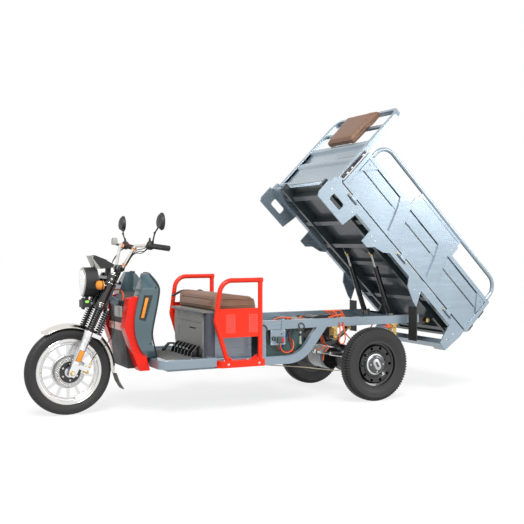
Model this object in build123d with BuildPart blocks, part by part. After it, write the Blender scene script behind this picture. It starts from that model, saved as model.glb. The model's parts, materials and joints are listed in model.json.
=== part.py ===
from build123d import *
from math import asin, cos, degrees, radians, sin, tan
import os

# Electric cargo tricycle with a tipping bed, shown with the bed raised.
# Working positions are measured from the point on the ground under the rear axle:
# +X ahead, +Y to the rider's left, +Z up. The vehicle's own origin lies on the ground
# midway between its foremost and rearmost points. What stands ahead of the rider's floor
# is measured from the point on the ground under the front axle.

# ---- Overall layout ----
WHEELBASE = 2087.0
REAR_TRACK = 913.0
RAKE = 24.0                  # lean of the fork legs from the vertical
STEER_OFFSET = 45.0          # steering axis behind the leg axis
BED_ANGLE = 45.0             # how far the bed is tipped
SIDES = (1, -1)
BOTH_ENDS = (-1, 1)

RUNNING = 0.05               # radial clearance of a shaft in its bore
SEAT = 0.3                   # clearance between pieces that are seated on each other

# ---- Wheels ----
REAR_RADIUS = 262.5
REAR_WIDTH = 98.0
REAR_FLANGE_RADIUS = 170.0
REAR_RIM_WIDTH = 76.0
FRONT_RADIUS = 285.0
FRONT_WIDTH = 85.0
FRONT_FLANGE_RADIUS = 214.0
FRONT_RIM_WIDTH = 58.0
FLANGE_HEIGHT = 12.0
WELL_DEPTH = 14.0
RIM_WALL = 4.0
SPINDLE_RADIUS = 20.0
HUB_RADIUS = 62.0
CAP_RADIUS = 74.0
DRUM_RADIUS = 104.0
HAND_HOLES = 10
HAND_HOLE_RADIUS = 11.0
HAND_HOLE_CIRCLE = 116.0
SPOKES = 14
FRONT_HUB_RADIUS = 34.0
FRONT_HUB_WIDTH = 92.0
WINDOW_INNER = 112.0
WINDOW_OUTER = 172.0
SPOKE_WIDTH = 17.0
FRONT_AXLE_RADIUS = 9.0
DISC_RADIUS = 98.0
DISC_RING = 30.0
DISC_THICKNESS = 4.0
DISC_HOLES = 24
DISC_LOBES = 6

# ---- Tipping bed, in its own frame: u from the tail forward, w up from the floor ----
HINGE_BACK = 560.0           # tipping pivot behind the rear axle
HINGE_HEIGHT = 545.0
HINGE_FROM_TAIL = 240.0
HINGE_BELOW_FLOOR = 119.0
HINGE_PIN_RADIUS = 12.0
BED_LENGTH = 1600.0
BED_HALF = 450.0
RAIL_DEPTH = 60.0
RAIL_WIDTH = 42.0
SHEET = 3.0
BEAM_AT = 300.0
BEAM_WIDTH = 30.0
HEADBOARD_REAR = BED_LENGTH - 60
HEADBOARD_DEPTH = 36.0
HEADBOARD_TOP = 760.0
HEADBOARD_CORNER = 90.0
POST_FACE = 45.0             # width of the headboard's side posts
GATE_HEIGHT = 320.0
GATE_GAP = 10.0              # from the floor to a gate's lower edge
GATE_REAR = -20.0
GATE_FRONT = HEADBOARD_REAR - 12
GATE_DEPTH = 20.0
GATE_HINGES = (215.0, BED_LENGTH / 2 - 2, BED_LENGTH - 210)
GATE_HINGE_OUT = 6.0         # hinge axis outside the bed's side
GATE_HINGE_W = -14.0
TAIL_HALF = BED_HALF - 30
TAIL_FACE = -24.0
TAIL_HINGES = (-300.0, 0.0, 300.0)
TAIL_HINGE_U = -9.0
TAIL_HINGE_W = -12.0
KNUCKLE_RADIUS = 9.0
KNUCKLE_LENGTH = 50.0
KNUCKLE_GAP = 5.0
KNUCKLE_PIN = 4.5
HINGE_EAR = 14.0
GATE_FRAME = 30.0
LOOP_TUBE = 15.0
LOOP_TOP = 480.0
LOOP_REAR = 0.0
LOOP_FRONT = HEADBOARD_REAR - 40
LOOP_RADIUS = 120.0          # outer radius of the loop's corners
INFILL_REAR = 484.0
INFILL_FRONT = 1020.0
EAR_SHEET = 10.0
EAR_DROP = 199.0
FLAP_U = 452.0
FLAP_W = -173.0
FLAP_INNER = BED_HALF - 92
FLAP_OUTER = BED_HALF + 8
FLAP_LENGTH = 250.0
FLAP_SHEET = 6.0

# ---- Lifting struts ----
STRUT_SPREAD = 170.0
STRUT_BASE = (-330.0, 582.0)
STRUT_EYE_U = 884.0
STRUT_EYE_W = -41.0
STRUT_CYLINDER = 380.0
STRUT_RADIUS = 20.0
STRUT_ROD_RADIUS = 9.0
STRUT_EYE_RADIUS = 14.0
STRUT_EYE_WIDTH = 16.0
STRUT_PIN = 6.0

# ---- Chassis ----
RAIL_OUTER = 350.0
RAIL_INNER = 310.0
RAIL_BOTTOM = 532.0
RAIL_TOP = 592.0
RAIL_REAR = -470.0
POST_FRONT = 850.0
POST_WIDTH = 40.0
LOWER_BOTTOM = 289.0
LOWER_TOP = 346.0
AXLE_TUBE_RADIUS = 34.0
AXLE_TUBE_END = 384.0
SPRING_AT = 315.0
SPRING_WIDTH = 50.0
SPRING_REACH = 255.0
SPRING_EYE_HEIGHT = 452.0
LEAF = 8.0
LEAVES = 5
SPRING_EYE = 15.0

# ---- Rider's place ----
FLOOR_TOP = 370.0
FLOOR_HALF = 420.0
FLOOR_EDGE = -487.0          # the floor's front edge, behind the front axle
SILL_BOTTOM = 312.0
SILL_WIDTH = 46.0
FLOOR_RECESS = 16.0
SEAT_REAR = 883.0
SEAT_FRONT = 1235.0
SEAT_HALF = 300.0
SEAT_TOP = 670.0
GUARD_AT = 410.0
GUARD_TUBE = 16.0
GUARD_TOP = 893.0
GUARD_REAR = 885.0
GUARD_BASE_FRONT = 1208.0
SHIELD_HALF = 280.0

# ---- Fork, in the fork's own frame: height along the leg from the front axle ----
LEG_AT = 95.0
LEG_RADIUS = 27.0
LEG_TOP = 289.0
SPRING_RADIUS = 26.0
REAR_SPRING_BACK = 58.0
LOWER_YOKE = 454.0
UPPER_YOKE = 646.0
YOKE_THICKNESS = 20.0
COVER_RADIUS = 29.0
STEM_RADIUS = 17.0
HEAD_RADIUS = 28.0
HANDLEBAR_RADIUS = 11.0
FENDER_RADIUS = 316.0
FENDER_HALF = 54.0
FENDER_SHEET = 3.0

# ---- Worked-out places ----
TIP = radians(BED_ANGLE)
bed_x = -HINGE_BACK - HINGE_FROM_TAIL * cos(TIP) - HINGE_BELOW_FLOOR * sin(TIP)
bed_z = HINGE_HEIGHT - HINGE_FROM_TAIL * sin(TIP) + HINGE_BELOW_FLOOR * cos(TIP)
loop_corner_u = LOOP_REAR + LOOP_RADIUS
loop_corner_w = LOOP_TOP - LOOP_RADIUS
rearmost = bed_x + loop_corner_u * cos(TIP) - loop_corner_w * sin(TIP) - LOOP_RADIUS
foremost = WHEELBASE + FRONT_RADIUS
centre_x = (foremost + rearmost) / 2

os.makedirs("parts", exist_ok=True)

VEHICLE = Location((-centre_x, 0, 0))
TIPPED = Location((bed_x, 0, bed_z), (0, -BED_ANGLE, 0))
BED = VEHICLE * TIPPED
FRONT = VEHICLE * Location((WHEELBASE, 0, 0))
FRONT_WHEEL = FRONT * Location((0, 0, FRONT_RADIUS))
FORK_TILT = Location((0, 0, FRONT_RADIUS), (0, -RAKE, 0))
FORK = FRONT * FORK_TILT


def rear_wheel_place(side):
    """Place of a rear wheel; its outer face looks away from the vehicle."""
    return VEHICLE * Location((0, side * REAR_TRACK / 2, REAR_RADIUS), (0, 0, 0 if side > 0 else 180))


def keep(part, name, place):
    """Moves a finished part from its working frame to the vehicle's and writes it."""
    placed = place * part
    placed.label = name
    export_step(placed, f"parts/{name}.step")


def box(low, high, mode=Mode.ADD):
    """A box between two corners."""
    size = [b - a for a, b in zip(low, high)]
    middle = tuple((a + b) / 2 for a, b in zip(low, high))
    with Locations(middle):
        Box(*size, mode=mode)


def both_sides(inner, outer):
    """The two spans across the vehicle between two distances from its middle plane."""
    return ((inner, outer), (-outer, -inner))


def rod(start, end, radius, mode=Mode.ADD):
    """A round bar between two points."""
    line = Edge.make_line(start, end)
    with BuildSketch(Plane(origin=start, z_dir=line % 0)) as section:
        Circle(radius)
    extrude(section.sketch, amount=line.length, mode=mode)


def tube(path, radius, mode=Mode.ADD):
    """A round bar along a path."""
    with BuildSketch(Plane(origin=path @ 0, z_dir=path % 0)) as section:
        Circle(radius)
    sweep(section.sketch, path=path, mode=mode)


def side_plate(points, inner, outer, radius=0, mode=Mode.ADD):
    """A plate with a side-view outline of (x, z) points, between two widths."""
    with BuildSketch(Plane.XZ.offset(-outer)) as outline:
        with BuildLine():
            Polyline(*points, close=True)
        make_face()
        if radius:
            fillet(outline.vertices(), radius)
    extrude(outline.sketch, amount=outer - inner, mode=mode)


def raised(points, base, height, inset):
    """A raised panel on a leftward face, its crown drawn in from both ends of its side-view outline."""
    middle = sum(x for x, z in points) / len(points)
    crown = [(x - inset if x > middle else x + inset, z) for x, z in points]
    levels = []
    for y, outline in ((base, points), (base + height, crown)):
        with BuildSketch(Plane.XZ.offset(-y)) as level:
            with BuildLine():
                Polyline(*outline, close=True)
            make_face()
        levels.append(level.sketch.face())
    loft(levels, ruled=True)


CORD_SHARE = 0.45            # share of the shorter run that a cord's arc takes


def cord(name, points, diameter):
    """A held cord: straight runs between the points of its route, joined by tangent arcs."""
    radii = []
    for before, here, after in zip(points, points[1:], points[2:]):
        first = Vector(*here) - Vector(*before)
        second = Vector(*after) - Vector(*here)
        half_turn = radians(first.get_angle(second)) / 2
        radii.append(CORD_SHARE * min(first.length, second.length) / tan(half_turn))
    with BuildPart() as body:
        with BuildLine() as route:
            FilletPolyline(*points, radius=radii)
        tube(route.line, diameter / 2)
    print(name, "length", round(sum(edge.length for edge in route.edges())), "radii", [round(radius) for radius in radii])
    return body.part


# ================= Wheels =================

def make_tyre(radius, width, flange_radius, rim_width):
    """A tyre whose beads sit between the rim's flanges, with flat-sided walls and tread."""
    bead_radius = flange_radius - FLANGE_HEIGHT + SEAT
    bead = rim_width / 2 - RIM_WALL - SEAT
    wide_radius = flange_radius + (radius - flange_radius) * 0.5
    tread = width * 0.34
    outer_half = [(bead_radius, bead), (flange_radius, bead), (wide_radius, width / 2), (radius, tread)]
    with BuildPart() as tyre:
        with BuildSketch(Plane.XY):
            with BuildLine():
                Polyline(*outer_half, *((x, -y) for x, y in reversed(outer_half)), close=True)
            make_face()
        revolve(axis=Axis.Y)
    return tyre.part


def rim_section(flange_radius, rim_width):
    """Section of a rim's barrel: two flanges, two bead seats and a well."""
    seat = flange_radius - FLANGE_HEIGHT
    well = seat - WELL_DEPTH
    half = rim_width / 2
    outer = [(flange_radius, half), (flange_radius, half - RIM_WALL), (seat, half - RIM_WALL),
             (seat, half * 0.45), (well, half * 0.3)]
    inner = [(well - RIM_WALL, half * 0.3 - 1), (seat - RIM_WALL, half * 0.45 - 1), (seat - RIM_WALL, half)]
    upper = outer + [(x, -y) for x, y in reversed(outer)]
    lower = [(x, -y) for x, y in reversed(inner)]
    with BuildLine() as section:
        Polyline(*upper, *lower, *inner, close=True)
    make_face(section.edges())


rear_tyre = make_tyre(REAR_RADIUS, REAR_WIDTH, REAR_FLANGE_RADIUS, REAR_RIM_WIDTH)
front_tyre = make_tyre(FRONT_RADIUS, FRONT_WIDTH, FRONT_FLANGE_RADIUS, FRONT_RIM_WIDTH)

DISH_OUT = 12.0              # wheel disc's face outboard of the tyre's middle
DISC_SHEET = 5.0
rear_well = REAR_FLANGE_RADIUS - FLANGE_HEIGHT - WELL_DEPTH - RIM_WALL
with BuildPart() as rear_rim:
    with BuildSketch(Plane.XY):
        rim_section(REAR_FLANGE_RADIUS, REAR_RIM_WIDTH)
        with BuildLine():
            Polyline((HUB_RADIUS, DISH_OUT), (88, DISH_OUT), (104, DISH_OUT + 12), (128, DISH_OUT + 12),
                     (rear_well + 1, 2), (rear_well + 1, 2 - DISC_SHEET), (126, DISH_OUT + 12 - DISC_SHEET),
                     (106, DISH_OUT + 12 - DISC_SHEET), (90, DISH_OUT - DISC_SHEET),
                     (HUB_RADIUS, DISH_OUT - DISC_SHEET), close=True)
        make_face()
    revolve(axis=Axis.Y)
    with BuildSketch(Plane.XZ):
        with PolarLocations(HAND_HOLE_CIRCLE, HAND_HOLES):
            Circle(HAND_HOLE_RADIUS)
    extrude(amount=REAR_WIDTH, both=True, mode=Mode.SUBTRACT)

HUB_INNER = -60.0            # hub's inboard end, from the wheel's middle
hub_end = DISH_OUT - DISC_SHEET - SEAT
with BuildPart() as rear_hub:
    with BuildSketch(Plane.XY):
        with BuildLine():
            Polyline((SPINDLE_RADIUS + RUNNING, HUB_INNER), (DRUM_RADIUS, HUB_INNER), (DRUM_RADIUS, -12),
                     (86, hub_end), (HUB_RADIUS - SEAT, hub_end), (HUB_RADIUS - SEAT, DISH_OUT + SEAT),
                     (CAP_RADIUS, DISH_OUT + SEAT), (CAP_RADIUS, DISH_OUT + 8), (60, DISH_OUT + 16),
                     (40, DISH_OUT + 16), (36, DISH_OUT + 24), (0, DISH_OUT + 26), (0, DISH_OUT + 4),
                     (SPINDLE_RADIUS + RUNNING, DISH_OUT + 4), close=True)
        make_face()
    revolve(axis=Axis.Y)

for side, word in ((1, "left"), (-1, "right")):
    place = rear_wheel_place(side)
    keep(rear_tyre, f"rear_tyre_{word}", place)
    keep(rear_rim.part, f"rear_rim_{word}", place)
    keep(rear_hub.part, f"rear_hub_{word}", place)

WEB = 20.0                   # thickness of the cast wheel's web
window_slope = tan(radians(180 / SPOKES))
inner_half = WINDOW_INNER * window_slope - SPOKE_WIDTH / 2
outer_half = WINDOW_OUTER * window_slope - SPOKE_WIDTH / 2
with BuildSketch() as spoke_window:
    with BuildLine():
        Polyline((WINDOW_INNER, -inner_half), (WINDOW_OUTER, -outer_half), (WINDOW_OUTER, outer_half),
                 (WINDOW_INNER, inner_half), close=True)
    make_face()
    fillet(spoke_window.vertices(), 6)
front_well = FRONT_FLANGE_RADIUS - FLANGE_HEIGHT - WELL_DEPTH - RIM_WALL
with BuildPart() as front_rim:
    with BuildSketch(Plane.XY):
        rim_section(FRONT_FLANGE_RADIUS, FRONT_RIM_WIDTH)
        with BuildLine():
            Polyline((FRONT_AXLE_RADIUS + RUNNING, -FRONT_HUB_WIDTH / 2), (FRONT_HUB_RADIUS, -FRONT_HUB_WIDTH / 2),
                     (FRONT_HUB_RADIUS + 6, -WEB), (60, -WEB / 2), (front_well + 2, -WEB * 0.4),
                     (front_well + 2, WEB * 0.4), (60, WEB / 2), (FRONT_HUB_RADIUS + 6, WEB),
                     (FRONT_HUB_RADIUS, FRONT_HUB_WIDTH / 2), (FRONT_AXLE_RADIUS + RUNNING, FRONT_HUB_WIDTH / 2),
                     close=True)
        make_face()
    revolve(axis=Axis.Y)
    with BuildSketch(Plane.XZ):
        with PolarLocations(0, SPOKES):
            add(spoke_window.sketch)
    extrude(amount=FRONT_WIDTH, both=True, mode=Mode.SUBTRACT)

disc_at = FRONT_HUB_WIDTH / 2
disc_inside = DISC_RADIUS - DISC_RING
with BuildPart() as front_disc:
    with BuildSketch(Plane.XZ.offset(-disc_at - DISC_THICKNESS)):
        Circle(DISC_RADIUS)
        Circle(disc_inside, mode=Mode.SUBTRACT)
        with PolarLocations(DISC_RADIUS - DISC_RING / 2, DISC_HOLES):
            Circle(4, mode=Mode.SUBTRACT)
        Circle(FRONT_HUB_RADIUS)
        with PolarLocations((disc_inside + FRONT_HUB_RADIUS) / 2, DISC_LOBES):
            Rectangle(disc_inside - FRONT_HUB_RADIUS + 8, 12)
        Circle(FRONT_AXLE_RADIUS + RUNNING, mode=Mode.SUBTRACT)
    extrude(amount=DISC_THICKNESS)

keep(front_tyre, "front_tyre", FRONT_WHEEL)
keep(front_rim.part, "front_rim", FRONT_WHEEL)
keep(front_disc.part, "front_disc", FRONT_WHEEL)


# ================= Chassis =================

post_rear = POST_FRONT - POST_WIDTH
under_rail = RAIL_BOTTOM - SEAT
cross_half = RAIL_INNER - SEAT
CROSS_RISE = 3.0             # cross bars above the rails' lower face
CROSS_HEIGHT = 30.0
CROSS_WIDTH = 40.0
REAR_CROSS = (-440.0, 0.0, 380.0, post_rear + POST_WIDTH / 2)
KNEE_OUTER = 250.0           # radii of the lower chord where it turns up to the rail
KNEE_INNER = KNEE_OUTER - 60
STRUT_EAR = 6.0
TRAY_AT = (650.0, 786.0)     # cross-bars under the battery
TRAY_TOP = 325.0
with BuildPart() as frame_rear:
    for low, high in both_sides(RAIL_INNER, RAIL_OUTER):
        box((RAIL_REAR, low, RAIL_BOTTOM), (POST_FRONT, high, RAIL_TOP))
        with BuildSketch(Plane.XZ.offset(-high)) as chord:
            with BuildLine():
                outer = FilletPolyline((POST_FRONT, LOWER_BOTTOM), (518, LOWER_BOTTOM), (328, under_rail),
                                       radius=KNEE_OUTER)
                inner = FilletPolyline((410, under_rail), (553, LOWER_TOP), (post_rear, LOWER_TOP),
                                       radius=KNEE_INNER)
                Line(outer @ 1, inner @ 0)
                Polyline(inner @ 1, (post_rear, under_rail), (POST_FRONT, under_rail), outer @ 0)
            make_face()
        extrude(chord.sketch, amount=high - low)
    for x in REAR_CROSS:
        box((x - CROSS_WIDTH / 2, -cross_half, RAIL_BOTTOM + CROSS_RISE),
            (x + CROSS_WIDTH / 2, cross_half, RAIL_BOTTOM + CROSS_RISE + CROSS_HEIGHT))
    for x in TRAY_AT:
        box((x - CROSS_WIDTH / 2, -cross_half, LOWER_BOTTOM + 6), (x + CROSS_WIDTH / 2, cross_half, TRAY_TOP - SEAT))
    base_x, base_z = STRUT_BASE
    box((base_x - 20, -cross_half, RAIL_BOTTOM - 12), (base_x + 20, cross_half, RAIL_BOTTOM + 18))
    for side in SIDES:
        for end in BOTH_ENDS:
            near = side * STRUT_SPREAD + end * (STRUT_EYE_WIDTH + STRUT_EAR) / 2 * 1.5 - STRUT_EAR / 2
            side_plate([(base_x - 20, RAIL_BOTTOM + 10), (base_x + 20, RAIL_BOTTOM + 10),
                        (base_x + 14, base_z + 12), (base_x - 14, base_z + 12)], near, near + STRUT_EAR)
        rod((base_x, side * STRUT_SPREAD - 24, base_z), (base_x, side * STRUT_SPREAD + 24, base_z), STRUT_PIN)

HEAD_BOTTOM = LOWER_YOKE + YOKE_THICKNESS + 3
HEAD_TOP = UPPER_YOKE - 3
head_place = FORK_TILT * Location((-STEER_OFFSET, 0, (HEAD_BOTTOM + HEAD_TOP) / 2))
DOWN_TUBE = 24.0
DOWN_TUBE_FOOT = -425.0
DOWN_TUBE_LOW = 314.0
FRONT_CROSS = 50.0           # width of the cross members under the floor
last_cross = FLOOR_EDGE - 100
OUTRIGGERS = (900.0, 1150.0)
OUTRIGGER_WIDTH = 36.0
GUARD_BASE = 25.0            # half the width of a guard's foot channel
with BuildPart() as frame_front:
    for low, high in both_sides(RAIL_INNER, RAIL_OUTER):
        box((POST_FRONT + SEAT - WHEELBASE, low, LOWER_BOTTOM), (last_cross + FRONT_CROSS / 2, high, LOWER_TOP))
    for x in (900 - WHEELBASE, 1180 - WHEELBASE, last_cross):
        box((x - FRONT_CROSS / 2, -cross_half, LOWER_BOTTOM), (x + FRONT_CROSS / 2, cross_half, LOWER_TOP))
    for x in OUTRIGGERS:
        for low, high in both_sides(RAIL_OUTER + SEAT, GUARD_AT - GUARD_BASE - SEAT):
            box((x - WHEELBASE - OUTRIGGER_WIDTH / 2, low, 306), (x - WHEELBASE + OUTRIGGER_WIDTH / 2, high, 338))
    with BuildLine() as down_tube:
        FilletPolyline((head_place.position.X, 0, head_place.position.Z - 10), (DOWN_TUBE_FOOT + 50, 0, 700),
                       (DOWN_TUBE_FOOT, 0, 480), (DOWN_TUBE_FOOT, 0, DOWN_TUBE_LOW),
                       (last_cross + FRONT_CROSS / 2 + SEAT, 0, DOWN_TUBE_LOW), radius=50)
    tube(down_tube.line, DOWN_TUBE)
    with Locations(head_place):
        Cylinder(HEAD_RADIUS, HEAD_TOP - HEAD_BOTTOM)
        Cylinder(STEM_RADIUS + RUNNING, WHEELBASE, mode=Mode.SUBTRACT)

BRACKET_SHEET = 6.0
LUG_WIDTH = 18.0
bracket_gap = LUG_WIDTH / 2 + 2
with BuildPart() as hinge_brackets:
    for side in SIDES:
        for end in BOTH_ENDS:
            near = side * BEAM_AT + end * (bracket_gap + BRACKET_SHEET / 2) - BRACKET_SHEET / 2
            side_plate([(RAIL_REAR - 70, RAIL_BOTTOM - 14), (RAIL_REAR + 60, RAIL_BOTTOM - 14),
                        (RAIL_REAR + 60, RAIL_BOTTOM), (RAIL_REAR, RAIL_BOTTOM), (RAIL_REAR, RAIL_TOP - 14),
                        (-HINGE_BACK - 10, HINGE_HEIGHT + 20), (-HINGE_BACK - 20, HINGE_HEIGHT - 14)],
                       near, near + BRACKET_SHEET)
        rod((-HINGE_BACK, side * BEAM_AT - 22, HINGE_HEIGHT), (-HINGE_BACK, side * BEAM_AT + 22, HINGE_HEIGHT),
            HINGE_PIN_RADIUS)
        low, high = sorted((side * (BEAM_AT - bracket_gap - BRACKET_SHEET), side * (RAIL_OUTER)))
        box((RAIL_REAR - 30, low, RAIL_BOTTOM - 14), (RAIL_REAR + 60, high, RAIL_BOTTOM))

DIFF_RADIUS = 92.0
MOTOR_RADIUS = 78.0
with BuildPart() as rear_axle:
    rod((0, -AXLE_TUBE_END, REAR_RADIUS), (0, AXLE_TUBE_END, REAR_RADIUS), AXLE_TUBE_RADIUS)
    spindle = REAR_TRACK / 2 + DISH_OUT
    rod((0, -spindle, REAR_RADIUS), (0, spindle, REAR_RADIUS), SPINDLE_RADIUS)
    with Locations((0, 40, REAR_RADIUS)):
        Sphere(DIFF_RADIUS)
    rod((0, 40 - DIFF_RADIUS - 8, REAR_RADIUS), (0, 40 + DIFF_RADIUS + 8, REAR_RADIUS), 58)
    rod((120, -150, REAR_RADIUS + 6), (120, 70, REAR_RADIUS + 6), MOTOR_RADIUS)
    for side in SIDES:
        back = side * (REAR_TRACK / 2 + HUB_INNER - 10)
        rod((0, back - side * 3, REAR_RADIUS), (0, back + side * 3, REAR_RADIUS), DRUM_RADIUS)
        low, high = sorted((side * (SPRING_AT - 32), side * (SPRING_AT + 32)))
        box((-42, low, REAR_RADIUS - 30), (42, high, REAR_RADIUS + AXLE_TUBE_RADIUS + 4))

spring_seat = REAR_RADIUS + AXLE_TUBE_RADIUS + 4
sag = SPRING_EYE_HEIGHT - spring_seat - LEAVES * LEAF
spring_radius = (SPRING_REACH ** 2 + sag ** 2) / (2 * sag)
spring_centre = spring_seat + LEAVES * LEAF + spring_radius
with BuildPart() as leaf_springs:
    for side in SIDES:
        with BuildSketch(Plane.XZ.offset(-side * SPRING_AT - SPRING_WIDTH / 2)):
            for leaf in range(LEAVES):
                half_angle = degrees(asin(SPRING_REACH * (1 - 0.17 * leaf) / spring_radius))
                with BuildLine():
                    outer = CenterArc((0, spring_centre), spring_radius + (leaf + 1) * LEAF, -90 - half_angle,
                                      2 * half_angle)
                    inner = CenterArc((0, spring_centre), spring_radius + leaf * LEAF, -90 - half_angle,
                                      2 * half_angle)
                    Line(outer @ 0, inner @ 0)
                    Line(outer @ 1, inner @ 1)
                make_face()
            with Locations(*((end * SPRING_REACH, SPRING_EYE_HEIGHT) for end in BOTH_ENDS)):
                Circle(SPRING_EYE)
        extrude(amount=SPRING_WIDTH)

with BuildPart() as shackles:
    for side in SIDES:
        for end in BOTH_ENDS:
            x = end * SPRING_REACH
            for edge in BOTH_ENDS:
                near = side * SPRING_AT + edge * (SPRING_WIDTH / 2 + 3.5) - 3
                box((x - 15, near, SPRING_EYE_HEIGHT - 16), (x + 15, near + 6, RAIL_BOTTOM - 10))
            low = side * SPRING_AT - SPRING_WIDTH / 2 - 6.5
            box((x - 30, low, RAIL_BOTTOM - 10), (x + 30, low + SPRING_WIDTH + 13, RAIL_BOTTOM))

with BuildPart() as battery_box:
    box((480, -RAIL_INNER + 20, TRAY_TOP), (post_rear - 14, RAIL_INNER - 20, RAIL_BOTTOM - 10))
    fillet(battery_box.edges().filter_by(Axis.Z), 12)

SWITCH_PLATE = 5.0
switch_face = RAIL_OUTER + SEAT + SWITCH_PLATE
KNOB_HEIGHT = 470.0
with BuildPart() as switch_plate:
    box((663, RAIL_OUTER + SEAT, 424), (778, switch_face, 528))
    box((668, RAIL_OUTER + SEAT, 500), (692, switch_face, RAIL_TOP + 12))
    box((684, switch_face, 440), (730, switch_face + 14, 480))
    rod((754, switch_face, KNOB_HEIGHT), (754, switch_face + 16, KNOB_HEIGHT), 12)
    box((750, switch_face, KNOB_HEIGHT - 14), (758, switch_face + 22, KNOB_HEIGHT + 14))

WIRE = 7.0
HARNESS_ROUTE = ((707, 363, 440 - SEAT), (707, 363, 404), (686, 366, 374), (647, 367, 366), (610, 361, 386),
                 (591, 344, 418), (585, 322, 448), (585, RAIL_INNER - 20 + SEAT, 448))
harness = cord("harness", HARNESS_ROUTE, WIRE)

for part, name in ((frame_rear, "frame_rear"), (hinge_brackets, "hinge_brackets"), (rear_axle, "rear_axle"),
                   (leaf_springs, "leaf_springs"), (shackles, "spring_shackles"), (battery_box, "battery_box"),
                   (switch_plate, "switch_plate")):
    keep(part.part, name, VEHICLE)
keep(frame_front.part, "frame_front", FRONT)
keep(harness, "harness", VEHICLE)

# ================= Rider's place =================

floor_rear = GUARD_BASE_FRONT + SEAT
floor_front = WHEELBASE + FLOOR_EDGE
cover_face = SEAT_FRONT + 8
with BuildPart() as floor_tub:
    box((floor_rear, -FLOOR_HALF, SILL_BOTTOM), (floor_front, FLOOR_HALF, FLOOR_TOP))
    fillet(floor_tub.edges().filter_by(Axis.Z).sort_by(Axis.X)[-2:], 70)
    fillet(floor_tub.faces().sort_by(Axis.Z)[-1].edges(), 6)
    box((floor_rear - 1, -RAIL_OUTER - 4, SILL_BOTTOM), (WHEELBASE + last_cross + FRONT_CROSS / 2 + 2, RAIL_OUTER + 4,
                                                         LOWER_TOP), Mode.SUBTRACT)
    box((floor_front - 100, -DOWN_TUBE - 4, SILL_BOTTOM), (floor_front, DOWN_TUBE + 4, LOWER_TOP), Mode.SUBTRACT)
    box((SEAT_FRONT, SILL_WIDTH - FLOOR_HALF, FLOOR_TOP - FLOOR_RECESS),
        (floor_front - 56, FLOOR_HALF - SILL_WIDTH, FLOOR_TOP), Mode.SUBTRACT)
    box((floor_rear - 1, -SEAT_HALF - SEAT, SILL_BOTTOM), (cover_face + SEAT, SEAT_HALF + SEAT, FLOOR_TOP),
        Mode.SUBTRACT)

COVER_AT = 1168.0            # where the seat box's front moulding begins
COVER_CORNER = 55.0
seat_bottom = LOWER_TOP + SEAT
with BuildPart() as seat_box:
    box((SEAT_REAR, -SEAT_HALF, seat_bottom), (COVER_AT, SEAT_HALF, SEAT_TOP))
    fillet(seat_box.edges().filter_by(Axis.Z).sort_by(Axis.X)[:2], 24)
    for low, high in both_sides(SEAT_HALF, SEAT_HALF + 3):
        box((SEAT_REAR + 30, low, seat_bottom + 6), (COVER_AT - 14, high, seat_bottom + 70))

with BuildPart() as seat_cover:
    box((COVER_AT + SEAT, -SEAT_HALF, seat_bottom), (SEAT_FRONT, SEAT_HALF, SEAT_TOP - 14))
    fillet(seat_cover.edges().filter_by(Axis.Z).sort_by(Axis.X)[-2:], COVER_CORNER)
    with BuildSketch(Plane.YZ.offset(SEAT_FRONT - 1)):
        with BuildLine():
            Polyline((250, SEAT_TOP - 16), (262, 555), (252, 440), (205, seat_bottom), (-205, seat_bottom), (-252, 440),
                     (-262, 555), (-250, SEAT_TOP - 16), close=True)
        make_face()
    extrude(amount=cover_face - SEAT_FRONT + 1, taper=8)
    box((COVER_AT + SEAT, -288, SEAT_TOP - 14), (SEAT_FRONT + 20, 288, SEAT_TOP))
    box((SEAT_FRONT - 20, -238, 590), (cover_face + 3, 238, 596))
    for y, low, high in ((-170, 612, 646), (-168, 480, 540)):
        box((cover_face - 12, y - 6, low), (cover_face + 4, y + 6, high), Mode.SUBTRACT)
    box((cover_face - 12, 23, 538), (cover_face + 4, 144, 548), Mode.SUBTRACT)

with BuildPart() as seat_cushion:
    side_plate([(862, SEAT_TOP + SEAT), (1188, SEAT_TOP + SEAT), (1192, SEAT_TOP + 100), (1170, SEAT_TOP + 112),
                (870, SEAT_TOP + 76)], -320, 320)
    fillet(seat_cushion.edges(), 14)

FIN = 8.0
FINS = 7
FIN_SPACING = 62.0
LEVER_AT = -236.0
fin_back = cover_face + SEAT
recess_floor = FLOOR_TOP - FLOOR_RECESS + SEAT
with BuildPart() as floor_controls:
    box((fin_back, -200, recess_floor), (fin_back + 16, 244, 420))
    for fin in range(FINS):
        near = 22 + (fin - (FINS - 1) / 2) * FIN_SPACING
        side_plate([(fin_back, recess_floor), (fin_back + 66, recess_floor), (fin_back + 60, 388), (fin_back + 20, 430),
                    (fin_back, 430)], near, near + FIN)
    box((fin_back, LEVER_AT - 12, recess_floor), (fin_back + 16, -199, 412))
    with BuildLine() as lever:
        FilletPolyline((fin_back + 4, LEVER_AT, 404), (fin_back + 52, LEVER_AT, 408), (fin_back + 86, LEVER_AT, 374),
                       radius=16)
    tube(lever.line, 7)
    rod((fin_back + 52, LEVER_AT, 408), (fin_back + 88, LEVER_AT, 372), 11)

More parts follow.
